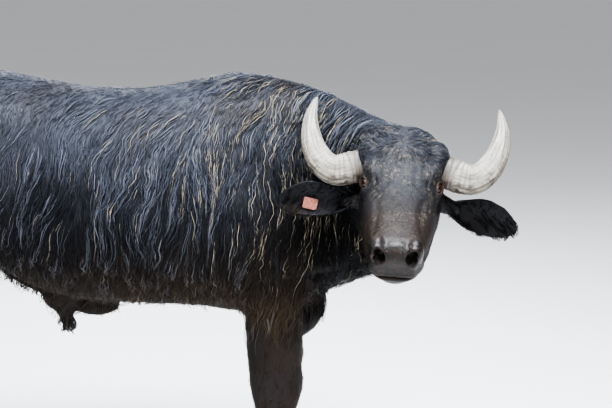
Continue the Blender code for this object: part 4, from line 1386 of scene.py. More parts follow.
def tuft_mesh(name, paths, ups, widths, unwrapped, numbers):
    """One piece of many hairs, with their patches on the unwrap and their numbers."""
    count, rings = paths.shape[:2]
    vertices = hair_points(paths, ups, widths)
    each = vertices.shape[1]
    starts = (np.arange(count) * each)[:, None, None]
    sides, ends = ((starts + np.array(faces)[None]).reshape(-1) for faces in hair_faces(rings))
    corners = np.concatenate((sides, ends))
    side_count, end_count = len(sides) // 4, len(ends) // 3
    end_starts = side_count * 4 + np.arange(end_count) * 3
    loop_starts = np.concatenate((np.arange(side_count) * 4, end_starts))
    mesh = bpy.data.meshes.new(name)
    mesh.vertices.add(count * each)
    mesh.vertices.foreach_set("co", vertices.astype(np.float32).ravel())
    mesh.loops.add(len(corners))
    mesh.loops.foreach_set("vertex_index", corners.astype(np.int32))
    mesh.polygons.add(side_count + end_count)
    mesh.polygons.foreach_set("loop_start", loop_starts.astype(np.int32))
    along = np.concatenate((np.repeat(np.linspace(0, 1, rings)[:-1], 3), [1.0]))
    across = np.concatenate((np.tile((0.0, 0.5, 1.0), rings - 1), [0.5]))
    spots = unwrapped[:, None, :] + TUFT_PATCH * (np.stack((across, along), axis=1)[None] - 0.5)
    layer = mesh.uv_layers.new(name="OFBake")
    layer.data.foreach_set("uv", spots.reshape(-1, 2)[corners].astype(np.float32).ravel())
    mesh.update(calc_edges=True)
    mesh.polygons.foreach_set("use_smooth", np.ones(len(mesh.polygons), bool))
    obj = bpy.data.objects.new(name, mesh)
    bpy.context.scene.collection.objects.link(obj)
    attribute(obj, "along", np.tile(along, count))
    for key, values in numbers.items():
        attribute(obj, key, np.repeat(values, each))
    return obj


def coat_piece(
    name, ground, finish, seed, number, share, length_at, lie, rings, *,
    wave, pitch, width, depth, hang=False, lock=9, hold=0.7, clods=0.9, tone=(0.0, 1.0, 1.0), full=0.02
):
    """One piece of coat: hairs rooted by share, as long as length_at says, in wavy locks.

    The waves have their height and pitch, and depth is how thick the coat lies. A lock has so
    many hairs, drawn together by hold. Clods is how readily mud holds in the hair, and tone is
    the lowest tone, the highest and the skew between them. A hair as long as full is at its
    whole width.
    """
    draw = np.random.default_rng(seed)
    roots, normals, unwrapped = ground.roots(share, number, draw)
    lengths = length_at(roots) * draw.uniform(0.75, 1.10, number)
    layer = draw.random(number) ** 1.3

    def rise(at):
        return -ROOT_DEPTH + (0.0025 + layer * depth) * np.minimum(at * 3.2, 1.0)

    paths, ups = traced(ground, roots, normals, lengths, rings, lie, rise, hang)
    guides = draw.choice(number, size=max(1, int(number / lock)), replace=False)
    paths, own = gathered(paths, roots, guides, hold)
    paths = waved(paths, ups, lengths, own, draw, wave, pitch)
    slender = np.clip(lengths / full, 0.45, 1.0)
    widths = width * draw.uniform(0.6, 1.25, number) * slender
    low, high, skew = tone
    chance = mud_share(roots) * clods
    alone, together = draw.random(number) < 0.8 * chance, draw.random(number)[own] < 0.2 * chance
    muddy = (alone | together) * draw.uniform(0.4, 1, number)
    shade = (0.7 * draw.random(number)[own] + 0.3 * draw.random(number)) ** skew
    numbers = {
        # Painted shade makes the hair darker on the throat
        "tone": (low + (high - low) * shade) * (1 - 0.7 * throat_shade(roots)),
        "mud": muddy,
        "brown": brown_share(roots),
        # Pale dust and a painted sheen of the sky on what faces up
        "dust": dust_and_sheen_share(roots, normals),
    }
    obj = tuft_mesh(name, paths, ups, widths, unwrapped, numbers)
    obj.data.materials.append(finish)
    settle(obj, "hide")
    return obj


def shaded(obj, degrees, finish):
    """Smooth shading up to an angle, and the piece's material."""
    pick(obj)
    bpy.ops.object.shade_smooth_by_angle(angle=math.radians(degrees))
    obj.data.materials.append(finish)


def horn(settings, finish, name, side):
    """A horn with its rings of growth, deepest near the root."""
    count = 48
    rings = horn_rings(side, smooth_rows(HORN, 12), count)
    centres = [sum(points, Vector()) / count for points in rings]
    reached = [0.0]
    for here, there in zip(centres, centres[1:]):
        reached.append(reached[-1] + (there - here).length)
    shaped = []
    values = {"along": [], "turn_x": [], "turn_y": [], "groove": []}
    for points, centre, gone in zip(rings, centres, reached):
        share = gone / reached[-1]
        beat = (gone / settings.ring_spacing + 0.5 * math.sin(gone * 61)) % 1.0
        ridge = settings.ring_height * (1 - share) ** 1.6 * (beat**0.6 - 0.5)
        made = []
        for i in range(count + 1):
            turn = 2 * math.pi * (i % count) / count
            out = points[i % count] - centre
            rough = 0.0005 * math.sin(5 * turn + gone * 90) * (1 - share)
            made.append(centre + out * (1 + (ridge + rough) / max(out.length, 0.004)))
            values["along"].append(share)
            values["groove"].append((1 - beat) ** 2)
            values["turn_x"].append(math.cos(turn) * side)
            values["turn_y"].append(math.sin(turn))
        shaped.append(made[:count])
    obj = loft(f"horn_{name}_sheath", shaped, values)
    obj.data.transform(head_frame())
    shaded(obj, 70, finish)
    return settle(obj, "horn", f"horn_{name}")


def claw(finish, end, foot_x, name, side, place, inner):
    """One claw of a foot, with its rings of growth."""
    y = side * (LEG_SPACING + inner * CLAW_SPACING)
    rings = []
    for z, forward, half_length, half_width in smooth_rows(CLAW, 8):
        wave = 0.0006 * math.sin(2 * math.pi * z / 0.0085) * min(1, z / 0.010) - 0.0010
        centre = Vector((foot_x + forward, y, z))
        rings.append(ring(centre, LEFT, AHEAD, half_width + wave, half_length + wave, 0.10, 2.4, 40))
    obj = loft(f"claw_{end}_{name}_{place}", rings)
    shaded(obj, 50, finish)
    return settle(obj, "hoof", f"hoof_{end}_{name}_{place}")


def dewclaw(foot_x, y):
    """A blunt little claw that points down and to the rear."""
    root = Vector((foot_x - 0.092, y, 0.143))
    rings = []
    for k in range(9):
        share = k / 8
        radius = 0.0135 * math.sqrt(max(1 - share**2.2, 0.0)) + 0.0012
        centre = root - Vector((0.020, 0, 0.026)) * share
        rings.append(ring(centre, LEFT, Vector((0.79, 0, -0.61)), radius, radius * 1.2, count=20))
    return loft("dewclaw", rings)


def dewclaws(finish):
    """The small claws behind each fetlock."""
    pieces = []
    for _, foot_x in FEET:
        for _, side in SIDES:
            for apart in (-DEWCLAW_SPACING, DEWCLAW_SPACING):
                pieces.append(dewclaw(foot_x, LEG_SPACING * side + apart))
    obj = joined("dewclaws", pieces)
    shaded(obj, 50, finish)
    return settle(obj, "hoof")


def eye(finish, name, side):
    """An eye: the ball with a cornea that stands a little proud over the iris."""
    obj = eye_ball(side, EYE_RADIUS - 0.0004, 32)
    obj.name = f"eyeball_{name}"
    aim, forward, upward = eye_axes(side)
    offset = offset_from(points_of(obj), EYE_PLACE, side)
    across, high = offset @ np.array(forward), offset @ np.array(upward)
    bulge = 0.0016 * blended(0.0145, 0.006, np.hypot(across, high)) * (offset @ np.array(aim) > 0)
    set_points(obj, points_of(obj) + unit(offset) * bulge[:, None])
    attribute(obj, "across", across * 100)
    attribute(obj, "high", high * 100)
    obj.data.transform(head_frame())
    shaded(obj, 80, finish)
    return settle(obj, "eye", f"eye_{name}")


def tag(finish):
    """A bare plate in the cup of the right ear, on a stem and with the stud's head on its face."""
    along, edge, opens = ear_axes(-1)
    half, roll_degrees = min(smooth_rows(EAR, 8), key=lambda row: abs(row[0] - TAG_SHARE))[1:]
    radius = half / math.radians(roll_degrees)
    middle = ear_profile(TAG_SHARE, half, roll_degrees, -1, 0.006)[8]
    inward = edge * -math.sin(TAG_TURN) + opens * math.cos(TAG_TURN)
    along = Quaternion(inward, TAG_ROLL) @ along
    across = along.cross(inward)
    wall = middle + (opens - inward) * (radius - 0.006)
    length, width, thick = TAG_SIZE
    face = TAG_STANDOFF + thick
    stem, bevel, squared = 0.0034, 0.0008, 9.0
    rings = []
    for lift, half_length, half_width, square in (
        (-0.004, stem, stem, 2.0),
        (TAG_STANDOFF, stem, stem, 2.0),
        (TAG_STANDOFF, length / 2 - bevel, width / 2 - bevel, squared),
        (TAG_STANDOFF + thick * 0.3, length / 2, width / 2, squared),
        (TAG_STANDOFF + thick * 0.7, length / 2, width / 2, squared),
        (face, length / 2 - bevel, width / 2 - bevel, squared),
        (face, 0.0060, 0.0060, 2.0),
        (face + 0.0010, 0.0053, 0.0053, 2.0),
        (face + 0.0014, 0.0030, 0.0030, 2.0),
    ):
        centre = wall + inward * lift
        rings.append(ring(centre, along, across, half_length, half_width, square=square, count=48))
    obj = loft("ear_plate", rings)
    obj.data.transform(head_frame())
    shaded(obj, 35, finish)
    return settle(obj, "tag", "ear_tag")


class Amount:
    """A number in a material's nodes. Arithmetic on it adds Math nodes."""

    def __init__(self, finish, socket):
        self.finish = finish
        self.socket = socket

    def worked(self, operation, first, second):
        return self.finish.add("ShaderNodeMath", {"operation": operation}, {0: first, 1: second})

    def __add__(self, other):
        return self.worked("ADD", self, other)

    def __radd__(self, other):
        return self.worked("ADD", other, self)

    def __sub__(self, other):
        return self.worked("SUBTRACT", self, other)

    def __rsub__(self, other):
        return self.worked("SUBTRACT", other, self)

    def __mul__(self, other):
        return self.worked("MULTIPLY", self, other)

    def __rmul__(self, other):
        return self.worked("MULTIPLY", other, self)

    def __pow__(self, other):
        return self.worked("POWER", self, other)


class Finish:
    """A material under construction."""

    def __init__(self, name):
        self.material = bpy.data.materials.new(name)
        self.material.use_nodes = True
        self.tree = self.material.node_tree
        self.tree.nodes.clear()

    def add(self, kind, settings=None, sockets=None, output=0):
        """Adds a node with its settings, then the values and links of its sockets."""
        node = self.tree.nodes.new(kind)
        for name, value in (settings or {}).items():
            setattr(node, name, value)
        for name, value in (sockets or {}).items():
            socket = node.inputs[name]
            if isinstance(value, Amount):
                self.tree.links.new(value.socket, socket)
            elif socket.type == "RGBA":
                socket.default_value = (*tuple(value)[:3], 1.0)
            else:
                socket.default_value = value
        return Amount(self, node.outputs[output]) if node.outputs else node

    def place(self):
        return self.add("ShaderNodeTexCoord", output="Object")

    def number(self, name):
        return self.add("ShaderNodeAttribute", {"attribute_name": name}, output="Fac")

    def scaled(self, vector, scale, turn=(0.0, 0.0, 0.0)):
        sockets = {"Vector": vector, "Scale": scale, "Rotation": turn}
        return self.add("ShaderNodeMapping", sockets=sockets)

    def speckle(self, vector, scale, detail=3.0, roughness=0.55):
        sockets = {"Vector": vector, "Scale": scale, "Detail": detail, "Roughness": roughness}
        return self.add("ShaderNodeTexNoise", sockets=sockets)

    def grain(self, vector, scales, detail=3.0, roughness=0.55, turn=(0.0, 0.0, 0.0)):
        """Noise with a scale for each axis."""
        return self.speckle(self.scaled(vector, scales, turn), 1.0, detail, roughness)

    def patches(self, vector, scale, low, high, detail=3.0, roughness=0.55):
        """Patches of noise, with edges that ease from low to high."""
        return self.eased(self.speckle(vector, scale, detail, roughness), low, high)

    def eased(self, value, low, high):
        sockets = {"Value": value, "From Min": low, "From Max": high}
        return self.add("ShaderNodeMapRange", {"interpolation_type": "SMOOTHSTEP"}, sockets)

    def mixed(self, share, first, second):
        return self.add("ShaderNodeMix", {"data_type": "RGBA"}, {0: share, 6: first, 7: second}, 2)

    def bump(self, height, strength, distance, below=None):
        sockets = {"Height": height, "Strength": strength, "Distance": distance}
        if below:
            sockets["Normal"] = below
        return self.add("ShaderNodeBump", sockets=sockets)

    def closed(self, sockets):
        """Ends the material with one shader."""
        shader = self.add("ShaderNodeBsdfPrincipled", sockets=sockets)
        self.add("ShaderNodeOutputMaterial", sockets={"Surface": shader})
        return self.material


def hide_finish(settings):
    """Black hide with fine pores and short fur, mud specks, a wet muzzle, pink lids, and pale dust with
    a painted bluish sheen of the sky on what faces up.
    """
    finish = Finish("hide")
    place, wet, face = finish.place(), finish.number("wet"), finish.number("face")
    tone = finish.patches(place, 9.0, 0.35, 0.70, 4.0)
    base = finish.mixed(tone, settings.black, settings.grey)
    base = finish.mixed(finish.number("brown") * 0.8, base, settings.brown)
    # Pale dust and a painted bluish sheen of the sky, a little less on the face
    base = finish.mixed(finish.number("dust") * (0.6 - 0.2 * face), base, settings.dust)
    fine = finish.patches(place, 230.0, 0.52, 0.64, 5.0, 0.7)
    coarse = finish.patches(place, 75.0, 0.46, 0.62, 5.0, 0.7)
    mud = finish.number("mud") * (0.10 + 0.90 * coarse) * (0.10 + 0.90 * fine) * (1.0 - wet)
    mud = mud * (0.05 + 0.95 * face)
    base = finish.mixed(mud, base, settings.mud)
    blotches = finish.patches(place, 60.0, 0.40, 0.65)
    base = finish.mixed(wet, base, finish.mixed(blotches, settings.nose, settings.nose_pale))
    base = finish.mixed(finish.number("lid") * 0.85, base, settings.lid)
    fur_body = finish.grain(place, (420.0, 420.0, 55.0), 2.0)
    fur_face = finish.grain(place, (420.0, 90.0, 260.0), 2.0, turn=(0.5, 0.0, 0.0))
    fur = finish.mixed(face, fur_body, fur_face)
    pores = finish.add(
        "ShaderNodeTexVoronoi", {"feature": "DISTANCE_TO_EDGE"}, {"Vector": place, "Scale": 330.0}
    )
    normal = finish.bump(fur, 0.55, 0.0022)
    normal = finish.bump(finish.eased(pores, 0.0, 0.25) * finish.number("bare"), 0.5, 0.0012, normal)
    normal = finish.bump(finish.speckle(place, 70.0, 4.0), 0.35, 0.004, normal)
    sockets = {
        "Base Color": base,
        "Specular IOR Level": 0.22,
        "Roughness": 0.62 - 0.10 * fur_body - 0.36 * wet + 0.25 * mud,
        "Normal": normal,
        "Coat Weight": wet * 0.22,
        "Coat Roughness": 0.24,
    }
    return finish.closed(sockets)


def coat_finish(settings):
    """Hair, from black roots to greyer or browner ends, with locks stiff with pale dried mud, and pale
    dust with a painted bluish sheen of the sky on what faces up.
    """
    finish = Finish("coat")
    along, tone = finish.number("along"), finish.number("tone")
    base = finish.mixed(finish.eased(tone, 0.20, 1.0), settings.black, settings.grey)
    base = finish.mixed(finish.eased(along * tone, 0.25, 0.9) * 0.6, base, settings.tip)
    base = finish.mixed(finish.number("brown") * (0.45 + 0.55 * along), base, settings.brown)
    # Pale dust and a painted bluish sheen of the sky, most on the paler hairs
    base = finish.mixed(finish.number("dust") * (0.4 + 0.6 * tone), base, settings.dust)
    patches = finish.patches(finish.place(), 45.0, 0.38, 0.58, 3.0)
    mud = finish.eased(finish.number("mud"), 0.05, 0.55) * (0.35 + 0.65 * patches)
    base = finish.mixed(mud, base, settings.mud)
    sockets = {
        "Base Color": base,
        "Roughness": 0.46 + 0.10 * tone + 0.30 * mud,
        "Specular IOR Level": 0.20,
    }
    return finish.closed(sockets)


def horn_finish(settings):
    """Pale horn with lengthwise grain, dark dirt about its lower root and streaks at the tip."""
    finish = Finish("horn")
    along, low_side = finish.number("along"), finish.number("turn_x")
    turned = {0: low_side, 1: finish.number("turn_y"), 2: along}
    around = finish.add("ShaderNodeCombineXYZ", sockets=turned)
    grain = finish.grain(around, (5.0, 5.0, 3.5), 5.0, 0.65)
    rings = finish.grain(around, (1.2, 1.2, 48.0), 4.0, 0.6)
    base = finish.mixed(finish.eased(grain, 0.38, 0.68), settings.pale, settings.shade)
    groove = finish.number("groove") * finish.eased(rings, 0.38, 0.62)
    base = finish.mixed(groove * (0.85 - 0.75 * along), base, settings.rings)
    dirt = finish.grain(around, (2.2, 2.2, 16.0), 5.0, 0.65)
    dirt = finish.eased(dirt, 0.44, 0.68) * finish.eased(low_side, 0.10, -0.60)
    dirt = dirt * finish.eased(along, 0.85, 0.35)
    base = finish.mixed(dirt * 0.9, base, settings.dirt)
    crust = finish.eased(along + 0.20 * grain, 0.26, 0.12)
    base = finish.mixed(crust * 0.85, base, settings.dirt)
    streaks = finish.eased(finish.grain(around, (1.6, 1.6, 3.0)), 0.50, 0.62)
    base = finish.mixed(streaks * finish.eased(along, 0.62, 0.90) * 0.75, base, settings.tip)
    normal = finish.bump(grain, 0.5, 0.0025)
    normal = finish.bump(rings, 0.5, 0.0025, normal)
    normal = finish.bump(dirt, 0.5, 0.0012, normal)
    sockets = {"Base Color": base, "Roughness": 0.42 + 0.20 * grain + 0.25 * dirt, "Normal": normal}
    return finish.closed(sockets)


def hoof_finish(settings):
    """Dark hoof horn with rings of growth and dried mud low down."""
    finish = Finish("hoof")
    place = finish.place()
    grain = finish.grain(place, (60.0, 60.0, 9.0), 4.0)
    rings = finish.grain(place, (4.0, 4.0, 160.0), 2.0)
    base = finish.mixed(finish.eased(grain, 0.35, 0.70), settings.dark, settings.light)
    height = finish.add("ShaderNodeSeparateXYZ", None, {0: place}, 2)
    clods = finish.patches(place, 42.0, 0.46, 0.62, 5.0, 0.7)
    clods = clods * finish.eased(height, 0.060, 0.005)
    base = finish.mixed(clods * 0.9, base, settings.mud)
    normal = finish.bump(rings, 0.4, 0.0012, finish.bump(clods, 0.6, 0.0015))
    sockets = {"Base Color": base, "Roughness": 0.45 + 0.15 * grain + 0.30 * clods, "Normal": normal}
    return finish.closed(sockets)


def eye_finish(settings):
    """A dark brown iris round a wide pupil, under a wet cornea."""
    finish = Finish("eye")
    across, high = finish.number("across"), finish.number("high")
    away = (across * across + high * high) ** 0.5
    pupil = (across * across * 0.55 + high * high * 3.2) ** 0.5
    rays = finish.patches(finish.place(), 420.0, 0.35, 0.70)
    base = finish.mixed(rays, settings.iris, settings.iris_light)
    base = finish.mixed(finish.eased(away, 1.42, 1.54), base, settings.white)
    base = finish.mixed(finish.eased(away, 1.60, 1.75), base, settings.corner)
    base = finish.mixed(finish.eased(pupil, 0.78, 0.66), base, settings.pupil)
    sockets = {
        "Base Color": base,
        "Roughness": 0.10,
        "Specular IOR Level": 0.35,
        "Coat Weight": 0.5,
        "Coat Roughness": 0.02,
    }
    return finish.closed(sockets)


def tag_finish(settings):
    """Faded salmon plastic with scuffs and patches of dirt."""
    finish = Finish("tag")
    place = finish.place()
    scuffs = finish.patches(place, 190.0, 0.46, 0.68, 5.0, 0.7)
    grime = finish.patches(place, 75.0, 0.44, 0.66, 4.0, 0.6)
    base = finish.mixed(scuffs, settings.plastic, settings.faded)
    base = finish.mixed(grime * 0.65, base, settings.grime)
    normal = finish.bump(scuffs, 0.3, 0.0006)
    return finish.closed({"Base Color": base, "Roughness": 0.42 + 0.3 * grime, "Normal": normal})


def floor_finish(settings):
    """A plain pale floor with the faintest mottling."""
    finish = Finish("floor")
    tone = finish.speckle(finish.place(), 0.8, 3.0)
    base = finish.mixed(tone, settings.floor, settings.floor_shade)
    return finish.closed({"Base Color": base, "Roughness": 0.75 + 0.10 * tone})


def lamp(name, energy, colour):
    """A soft square light of the table, with its power and colour."""
    size, place, aim = LAMPS[name]
    deselect()
    bpy.ops.object.light_add(type="AREA", location=Vector(place) + SHIFT)
    light = bpy.context.object
    light.name = name
    light.data.energy = energy
    light.data.size = size
    light.data.color = tuple(colour)
    light.rotation_euler = (Vector(aim) - Vector(place)).to_track_quat("-Z", "Y").to_euler()
    return light


def stage(settings):
    """The floor, the sky, the lights and the camera."""
    deselect()
    bpy.ops.mesh.primitive_grid_add(x_subdivisions=40, y_subdivisions=40, size=600)
    floor = bpy.context.object
    floor.name = "floor"
    floor.data.materials.append(floor_finish(settings))
    world = bpy.data.worlds.new("sky")
    bpy.context.scene.world = world
    world.use_nodes = True
    sky = world.node_tree.nodes["Background"]
    sky.inputs["Color"].default_value = (*tuple(settings.sky)[:3], 1.0)
    sky.inputs["Strength"].default_value = settings.sky_strength
    lamp("key", settings.key, settings.key_colour)
    lamp("fill", settings.fill, settings.fill_colour)
    sun = lamp("sun", settings.sun, settings.fill_colour)
    sun.data.type = "SUN"
    sun.data.energy = settings.sun
    sun.data.angle = SUN_ANGLE
    lamp("rim", settings.rim, settings.key_colour)
    deselect()
    bpy.ops.object.camera_add(location=Vector(CAMERA_PLACE) + SHIFT)
    camera = bpy.context.object
    camera.name = "camera"
    camera.data.lens = CAMERA_LENS
    camera.data.sensor_width = CAMERA_SENSOR
    camera.rotation_euler = (math.pi / 2 - CAMERA_DIP, 0.0, 0.0)
    bpy.context.scene.camera = camera
    bpy.context.scene.view_settings.look = "AgX - High Contrast"


def number(name, description, default, unit="LENGTH"):
    """A measure in one of the settings."""
    return bpy.props.FloatProperty(
        name=name, description=description, default=default, min=0.0, precision=5, unit=unit
    )


def amount(name, description, default):
    return bpy.props.IntProperty(name=name, description=description, default=default, min=1)


def paint(name, description, default):
    """A colour in one of the settings, in linear light."""
    return bpy.props.FloatVectorProperty(
        name=name, description=description, default=default, size=3, min=0.0, max=1.0, subtype="COLOR"
    )


class HideSettings(bpy.types.PropertyGroup):
    """The hide's fineness and colours"""

    voxel: number("Voxel", "Size of the cells in which the forms are merged", 0.0055)
    head_rounds: amount("Head rounds", "Rounds of smoothing over the whole hide", 3)
    body_rounds: amount("Body rounds", "More rounds of smoothing on the body alone", 14)
    soft_rounds: amount("Soft rounds", "More rounds of smoothing on the trunk and neck", 110)
    faces: amount("Faces", "Faces left on the hide before the face is refined", 70000)
    black: paint("Black", "The hide's darkest tone", (0.004, 0.004, 0.005))
    grey: paint("Grey", "The hide's lighter tone", (0.011, 0.011, 0.014))
    brown: paint("Brown", "Hide on the rump and knees", (0.022, 0.013, 0.008))
    # Pale dust, and a painted bluish sheen of the sky on what faces up
    dust: paint("Dust", "Dust on what faces the sky", (0.048, 0.056, 0.076))
    mud: paint("Mud", "Dried mud", (0.230, 0.190, 0.140))
    nose: paint("Nose", "The wet muzzle", (0.008, 0.007, 0.007))
    nose_pale: paint("Nose, pale", "Lighter skin of the muzzle", (0.020, 0.012, 0.009))
    lid: paint("Lid", "The rims of the lids", (0.055, 0.031, 0.026))


class CoatSettings(bpy.types.PropertyGroup):
    """How many hairs each part of the coat has, and their colours"""

    under: amount("Under coat", "Hairs in each quarter of the coat under the strands", 11500)
    strands: amount("Strands", "Long strands on one side of the body", 4600)
    short: amount("Short hairs", "Hairs on one side of the rump, the legs and the belly", 5500)
    face: amount("Face hairs", "Hairs on the head", 7000)
    ear: amount("Ear hairs", "Hairs on the ears", 1200)
    tail: amount("Tail hairs", "Hairs in the switch of the tail", 500)
    sheath: amount("Sheath hairs", "Hairs in the tuft of the sheath", 160)
    width: number("Width", "Width of a strand of long coat", 0.0026)
    wave: number("Wave", "Height of the waves in the long coat", 0.0050)
    pitch: number("Pitch", "Length of a wave of the long coat", 0.070)
    black: paint("Black", "The roots and the darkest hairs", (0.0035, 0.0035, 0.0045))
    grey: paint("Grey", "The palest dark hairs", (0.135, 0.148, 0.182))
    tip: paint("Tip", "The bleached ends", (0.110, 0.090, 0.075))
    brown: paint("Brown", "Hair of the rump and knees", (0.085, 0.060, 0.036))
    # Pale dust, and a painted bluish sheen of the sky on what faces up
    dust: paint("Dust", "Dust on what faces the sky", (0.122, 0.138, 0.178))
    mud: paint("Mud", "Dried mud in the locks", (0.250, 0.218, 0.160))


class HornSettings(bpy.types.PropertyGroup):
    """The horns' rings and colours"""

    ring_spacing: number("Ring spacing", "Distance between rings of growth", 0.011)
    ring_height: number("Ring height", "Height of a ring at the root", 0.0034)
    pale: paint("Pale", "The horn's lighter tone", (0.260, 0.243, 0.212))
    shade: paint("Shade", "The horn's darker grain", (0.075, 0.064, 0.048))
    rings: paint("Rings", "Stain between the rings", (0.026, 0.018, 0.011))
    dirt: paint("Dirt", "Crust on the lower root", (0.020, 0.012, 0.006))
    tip: paint("Tip", "Dark streaks near the point", (0.026, 0.024, 0.023))


class HoofSettings(bpy.types.PropertyGroup):
    """The hooves' colours"""

    dark: paint("Dark", "The hoof's darker horn", (0.016, 0.014, 0.013))
    light: paint("Light", "The hoof's lighter horn", (0.060, 0.052, 0.046))
    mud: paint("Mud", "Dried mud on the hooves", (0.200, 0.160, 0.115))


class EyeSettings(bpy.types.PropertyGroup):
    """The eyes' colours"""

    iris: paint("Iris", "The darker brown of the iris", (0.022, 0.009, 0.004))
    iris_light: paint("Iris, light", "The rays of the iris", (0.085, 0.036, 0.014))
    pupil: paint("Pupil", "The pupil", (0.003, 0.003, 0.004))
    white: paint("White", "The white of the eye", (0.420, 0.330, 0.280))
    corner: paint("Corner", "The skin in the eye's corners", (0.060, 0.030, 0.026))


class TagSettings(bpy.types.PropertyGroup):
    """The ear tag's colours"""

    plastic: paint("Plastic", "The tag's own colour", (0.300, 0.105, 0.078))
    faded: paint("Faded", "Where the sun has faded it", (0.380, 0.190, 0.150))
    grime: paint("Grime", "Dirt on the tag", (0.060, 0.036, 0.025))


class StageSettings(bpy.types.PropertyGroup):
    """The floor, the sky and the lights"""

    floor: paint("Floor", "The floor's colour", (0.780, 0.775, 0.765))
    floor_shade: paint("Floor shade", "The floor's faint mottling", (0.740, 0.735, 0.725))
    sky: paint("Sky", "The colour of the light from all round", (0.860, 0.900, 1.000))
    sky_strength: number("Sky strength", "Strength of the light from all round", 0.30, "NONE")
    key: number("Key", "Power of the light above", 700.0, "POWER")
    key_colour: paint("Key colour", "Colour of the lights above and behind", (0.900, 0.940, 1.000))
    fill: number("Fill", "Power of the light beside the camera", 150.0, "POWER")
    fill_colour: paint("Fill colour", "Colour of the light beside the camera", (1.000, 0.970, 0.930))
    rim: number("Rim", "Power of the light behind", 150.0, "POWER")
    sun: number("Sun", "Strength of the even light over the whole floor", 0.9, "NONE")


SETTINGS = {
    "hide": HideSettings,
    "coat": CoatSettings,
    "horn": HornSettings,
    "hoof": HoofSettings,
    "eye": EyeSettings,
    "tag": TagSettings,
    "stage": StageSettings,
}


def settings_of(context, name):
    return getattr(context.scene, f"buffalo_{name}")


class BUFFALO_OT_hide(bpy.types.Operator):
    """Builds the skin of the whole animal, with its lids, ears, nostrils and mouth"""

    bl_idname = "buffalo.hide"
    bl_label = "Build the hide"

    def execute(self, context):
        settings = settings_of(context, "hide")
        obj = skin(settings)
        obj.data.materials.clear()
        obj.data.materials.append(hide_finish(settings))
        settle(obj, "hide", *FLESH)
        return {"FINISHED"}


def coat_needs(context):
    """The coat's settings, the skin that it grows on and its material."""
    settings = settings_of(context, "coat")
    finish = bpy.data.materials.get("coat") or coat_finish(settings)
    return settings, Ground(bpy.data.objects["hide"]), finish


class BUFFALO_OT_long_coat(bpy.types.Operator):
    """Lays the long wavy coat over the flanks, shoulders and neck"""

    bl_idname = "buffalo.long_coat"
    bl_label = "Lay the long coat"

    def execute(self, context):
        settings, ground, finish = coat_needs(context)
        under = {"width": settings.width * 0.70, "wave": 0.0015, "pitch": 0.05, "depth": 0.004}
        under.update(hang=True, lock=5, hold=0.5, tone=(0.0, 0.45, 1.6), clods=0.12)
        strands = {"width": settings.width, "wave": settings.wave, "pitch": settings.pitch}
        strands.update(depth=0.010, hang=True, lock=2.8, hold=0.90, tone=(0.05, 1.0, 2.0), clods=0.50)
        for name, side in SIDES:
            for part, (low, high) in enumerate(UNDER_SLICES):
                share = slice_share(low, high, side, long_share)
                coat_piece(
                    f"under_coat_{part + 1}_{name}", ground, finish, 23 + 2 * part + side,
                    settings.under, share, under_length, body_lie, 4, **under
                )
            for part, (low, high, part_share) in enumerate(STRAND_SLICES):
                share = slice_share(low, high, side, strand_share)
                coat_piece(
                    f"strands_{part + 1}_{name}", ground, finish, 43 + 2 * part + side,
                    int(settings.strands * part_share), share, strand_length, body_lie, 9, **strands
                )
        return {"FINISHED"}


class BUFFALO_OT_short_coat(bpy.types.Operator):
    """Lays the short coat of the rump, legs and belly"""

    bl_idname = "buffalo.short_coat"
    bl_label = "Lay the short coat"

    def execute(self, context):
        settings, ground, finish = coat_needs(context)
        for name, side in SIDES:
            coat_piece(
                f"short_coat_{name}", ground, finish, 53 + side,
                settings.short, slice_share(-math.inf, math.inf, side, short_share), short_length,
                body_lie, 4, width=settings.width * 0.65, wave=0.0012, pitch=0.04, depth=0.003,
                lock=6, tone=(0.0, 0.5, 1.8), clods=0.12
            )
        return {"FINISHED"}


class BUFFALO_OT_face_coat(bpy.types.Operator):
    """Lays the short hair of the face, the poll's thicker hair and the hair of the ears"""

    bl_idname = "buffalo.face_coat"
    bl_label = "Lay the face's coat"

    def execute(self, context):
        settings, ground, finish = coat_needs(context)
        coat_piece(
            "face_coat", ground, finish, 61, settings.face, face_share, face_length, face_lie, 4,
            width=0.0017, wave=0.0008, pitch=0.03, depth=0.0015, lock=4, hold=0.4,
            tone=(0.0, 0.8, 1.6), clods=0.10, full=0.026
        )
        coat_piece(
            "ear_coat", ground, finish, 67, settings.ear, ear_share, even(0.044), ear_lie, 6,
            width=0.0020, wave=0.0025, pitch=0.05, depth=0.002, hang=True,
            tone=(0.0, 0.6, 2.0), clods=0.0
        )
        return {"FINISHED"}


class BUFFALO_OT_tufts(bpy.types.Operator):
    """Hangs the switch of the tail and the tuft of the sheath"""

    bl_idname = "buffalo.tufts"
    bl_label = "Hang the tufts"

    def execute(self, context):
        settings, ground, finish = coat_needs(context)
        ways = {"width": 0.0034, "wave": 0.004, "pitch": 0.09, "depth": 0.012, "hang": True, "lock": 12}
        coat_piece(
            "tail_switch", ground, finish, 71, settings.tail, switch_share, switch_length,
            hanging_lie, 8, **ways
        )
        coat_piece(
            "sheath_tuft", ground, finish, 73, settings.sheath, sheath_share, even(0.055),
            hanging_lie, 6, **ways
        )
        return {"FINISHED"}


class BUFFALO_OT_horns(bpy.types.Operator):
    """Builds both horns"""

    bl_idname = "buffalo.horns"
    bl_label = "Build the horns"

    def execute(self, context):
        settings = settings_of(context, "horn")
        finish = horn_finish(settings)
        for name, side in SIDES:
            horn(settings, finish, name, side)
        return {"FINISHED"}


class BUFFALO_OT_hooves(bpy.types.Operator):
    """Builds the claws of the four feet"""

    bl_idname = "buffalo.hooves"
    bl_label = "Build the hooves"

    def execute(self, context):
        finish = hoof_finish(settings_of(context, "hoof"))
        for end, foot_x in FEET:
            for name, side in SIDES:
                for place, inner in (("inner", -1), ("outer", 1)):
                    claw(finish, end, foot_x, name, side, place, inner)
        dewclaws(finish)
        return {"FINISHED"}


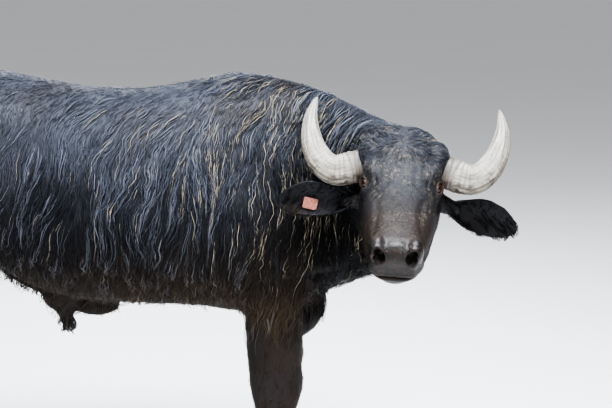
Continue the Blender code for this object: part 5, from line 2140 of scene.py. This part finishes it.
class BUFFALO_OT_eyes(bpy.types.Operator):
    """Builds both eyes"""

    bl_idname = "buffalo.eyes"
    bl_label = "Build the eyes"

    def execute(self, context):
        finish = eye_finish(settings_of(context, "eye"))
        for name, side in SIDES:
            eye(finish, name, side)
        return {"FINISHED"}


class BUFFALO_OT_tag(bpy.types.Operator):
    """Builds the bare tag of the right ear"""

    bl_idname = "buffalo.tag"
    bl_label = "Build the ear tag"

    def execute(self, context):
        tag(tag_finish(settings_of(context, "tag")))
        return {"FINISHED"}


class BUFFALO_OT_stage(bpy.types.Operator):
    """Sets the floor, the sky, the lights and the camera"""

    bl_idname = "buffalo.stage"
    bl_label = "Set the stage"

    def execute(self, context):
        stage(settings_of(context, "stage"))
        return {"FINISHED"}


OPERATORS = (
    BUFFALO_OT_hide, BUFFALO_OT_long_coat, BUFFALO_OT_short_coat, BUFFALO_OT_face_coat,
    BUFFALO_OT_tufts, BUFFALO_OT_horns, BUFFALO_OT_hooves, BUFFALO_OT_eyes, BUFFALO_OT_tag,
    BUFFALO_OT_stage,
)


class BUFFALO_PT_panel(bpy.types.Panel):
    """Lists the operators"""

    bl_idname = "BUFFALO_PT_panel"
    bl_label = "Water buffalo bull"
    bl_space_type = "VIEW_3D"
    bl_region_type = "UI"
    bl_category = "Buffalo"

    def draw(self, context):
        for operator in OPERATORS:
            self.layout.operator(operator.bl_idname)


def register():
    for group in SETTINGS.values():
        bpy.utils.register_class(group)
    for name, group in SETTINGS.items():
        setattr(bpy.types.Scene, f"buffalo_{name}", bpy.props.PointerProperty(type=group))
    for entry in (*OPERATORS, BUFFALO_PT_panel):
        bpy.utils.register_class(entry)


def unregister():
    for entry in (BUFFALO_PT_panel, *reversed(OPERATORS)):
        bpy.utils.unregister_class(entry)
    for name in SETTINGS:
        delattr(bpy.types.Scene, f"buffalo_{name}")
    for group in reversed(SETTINGS.values()):
        bpy.utils.unregister_class(group)


def main():
    register()
    for operator in OPERATORS:
        family, name = operator.bl_idname.split(".")
        done = getattr(getattr(bpy.ops, family), name)()
        if done != {"FINISHED"}:
            raise RuntimeError(f"{operator.bl_idname} did not finish")


if __name__ == "__main__":
    main()
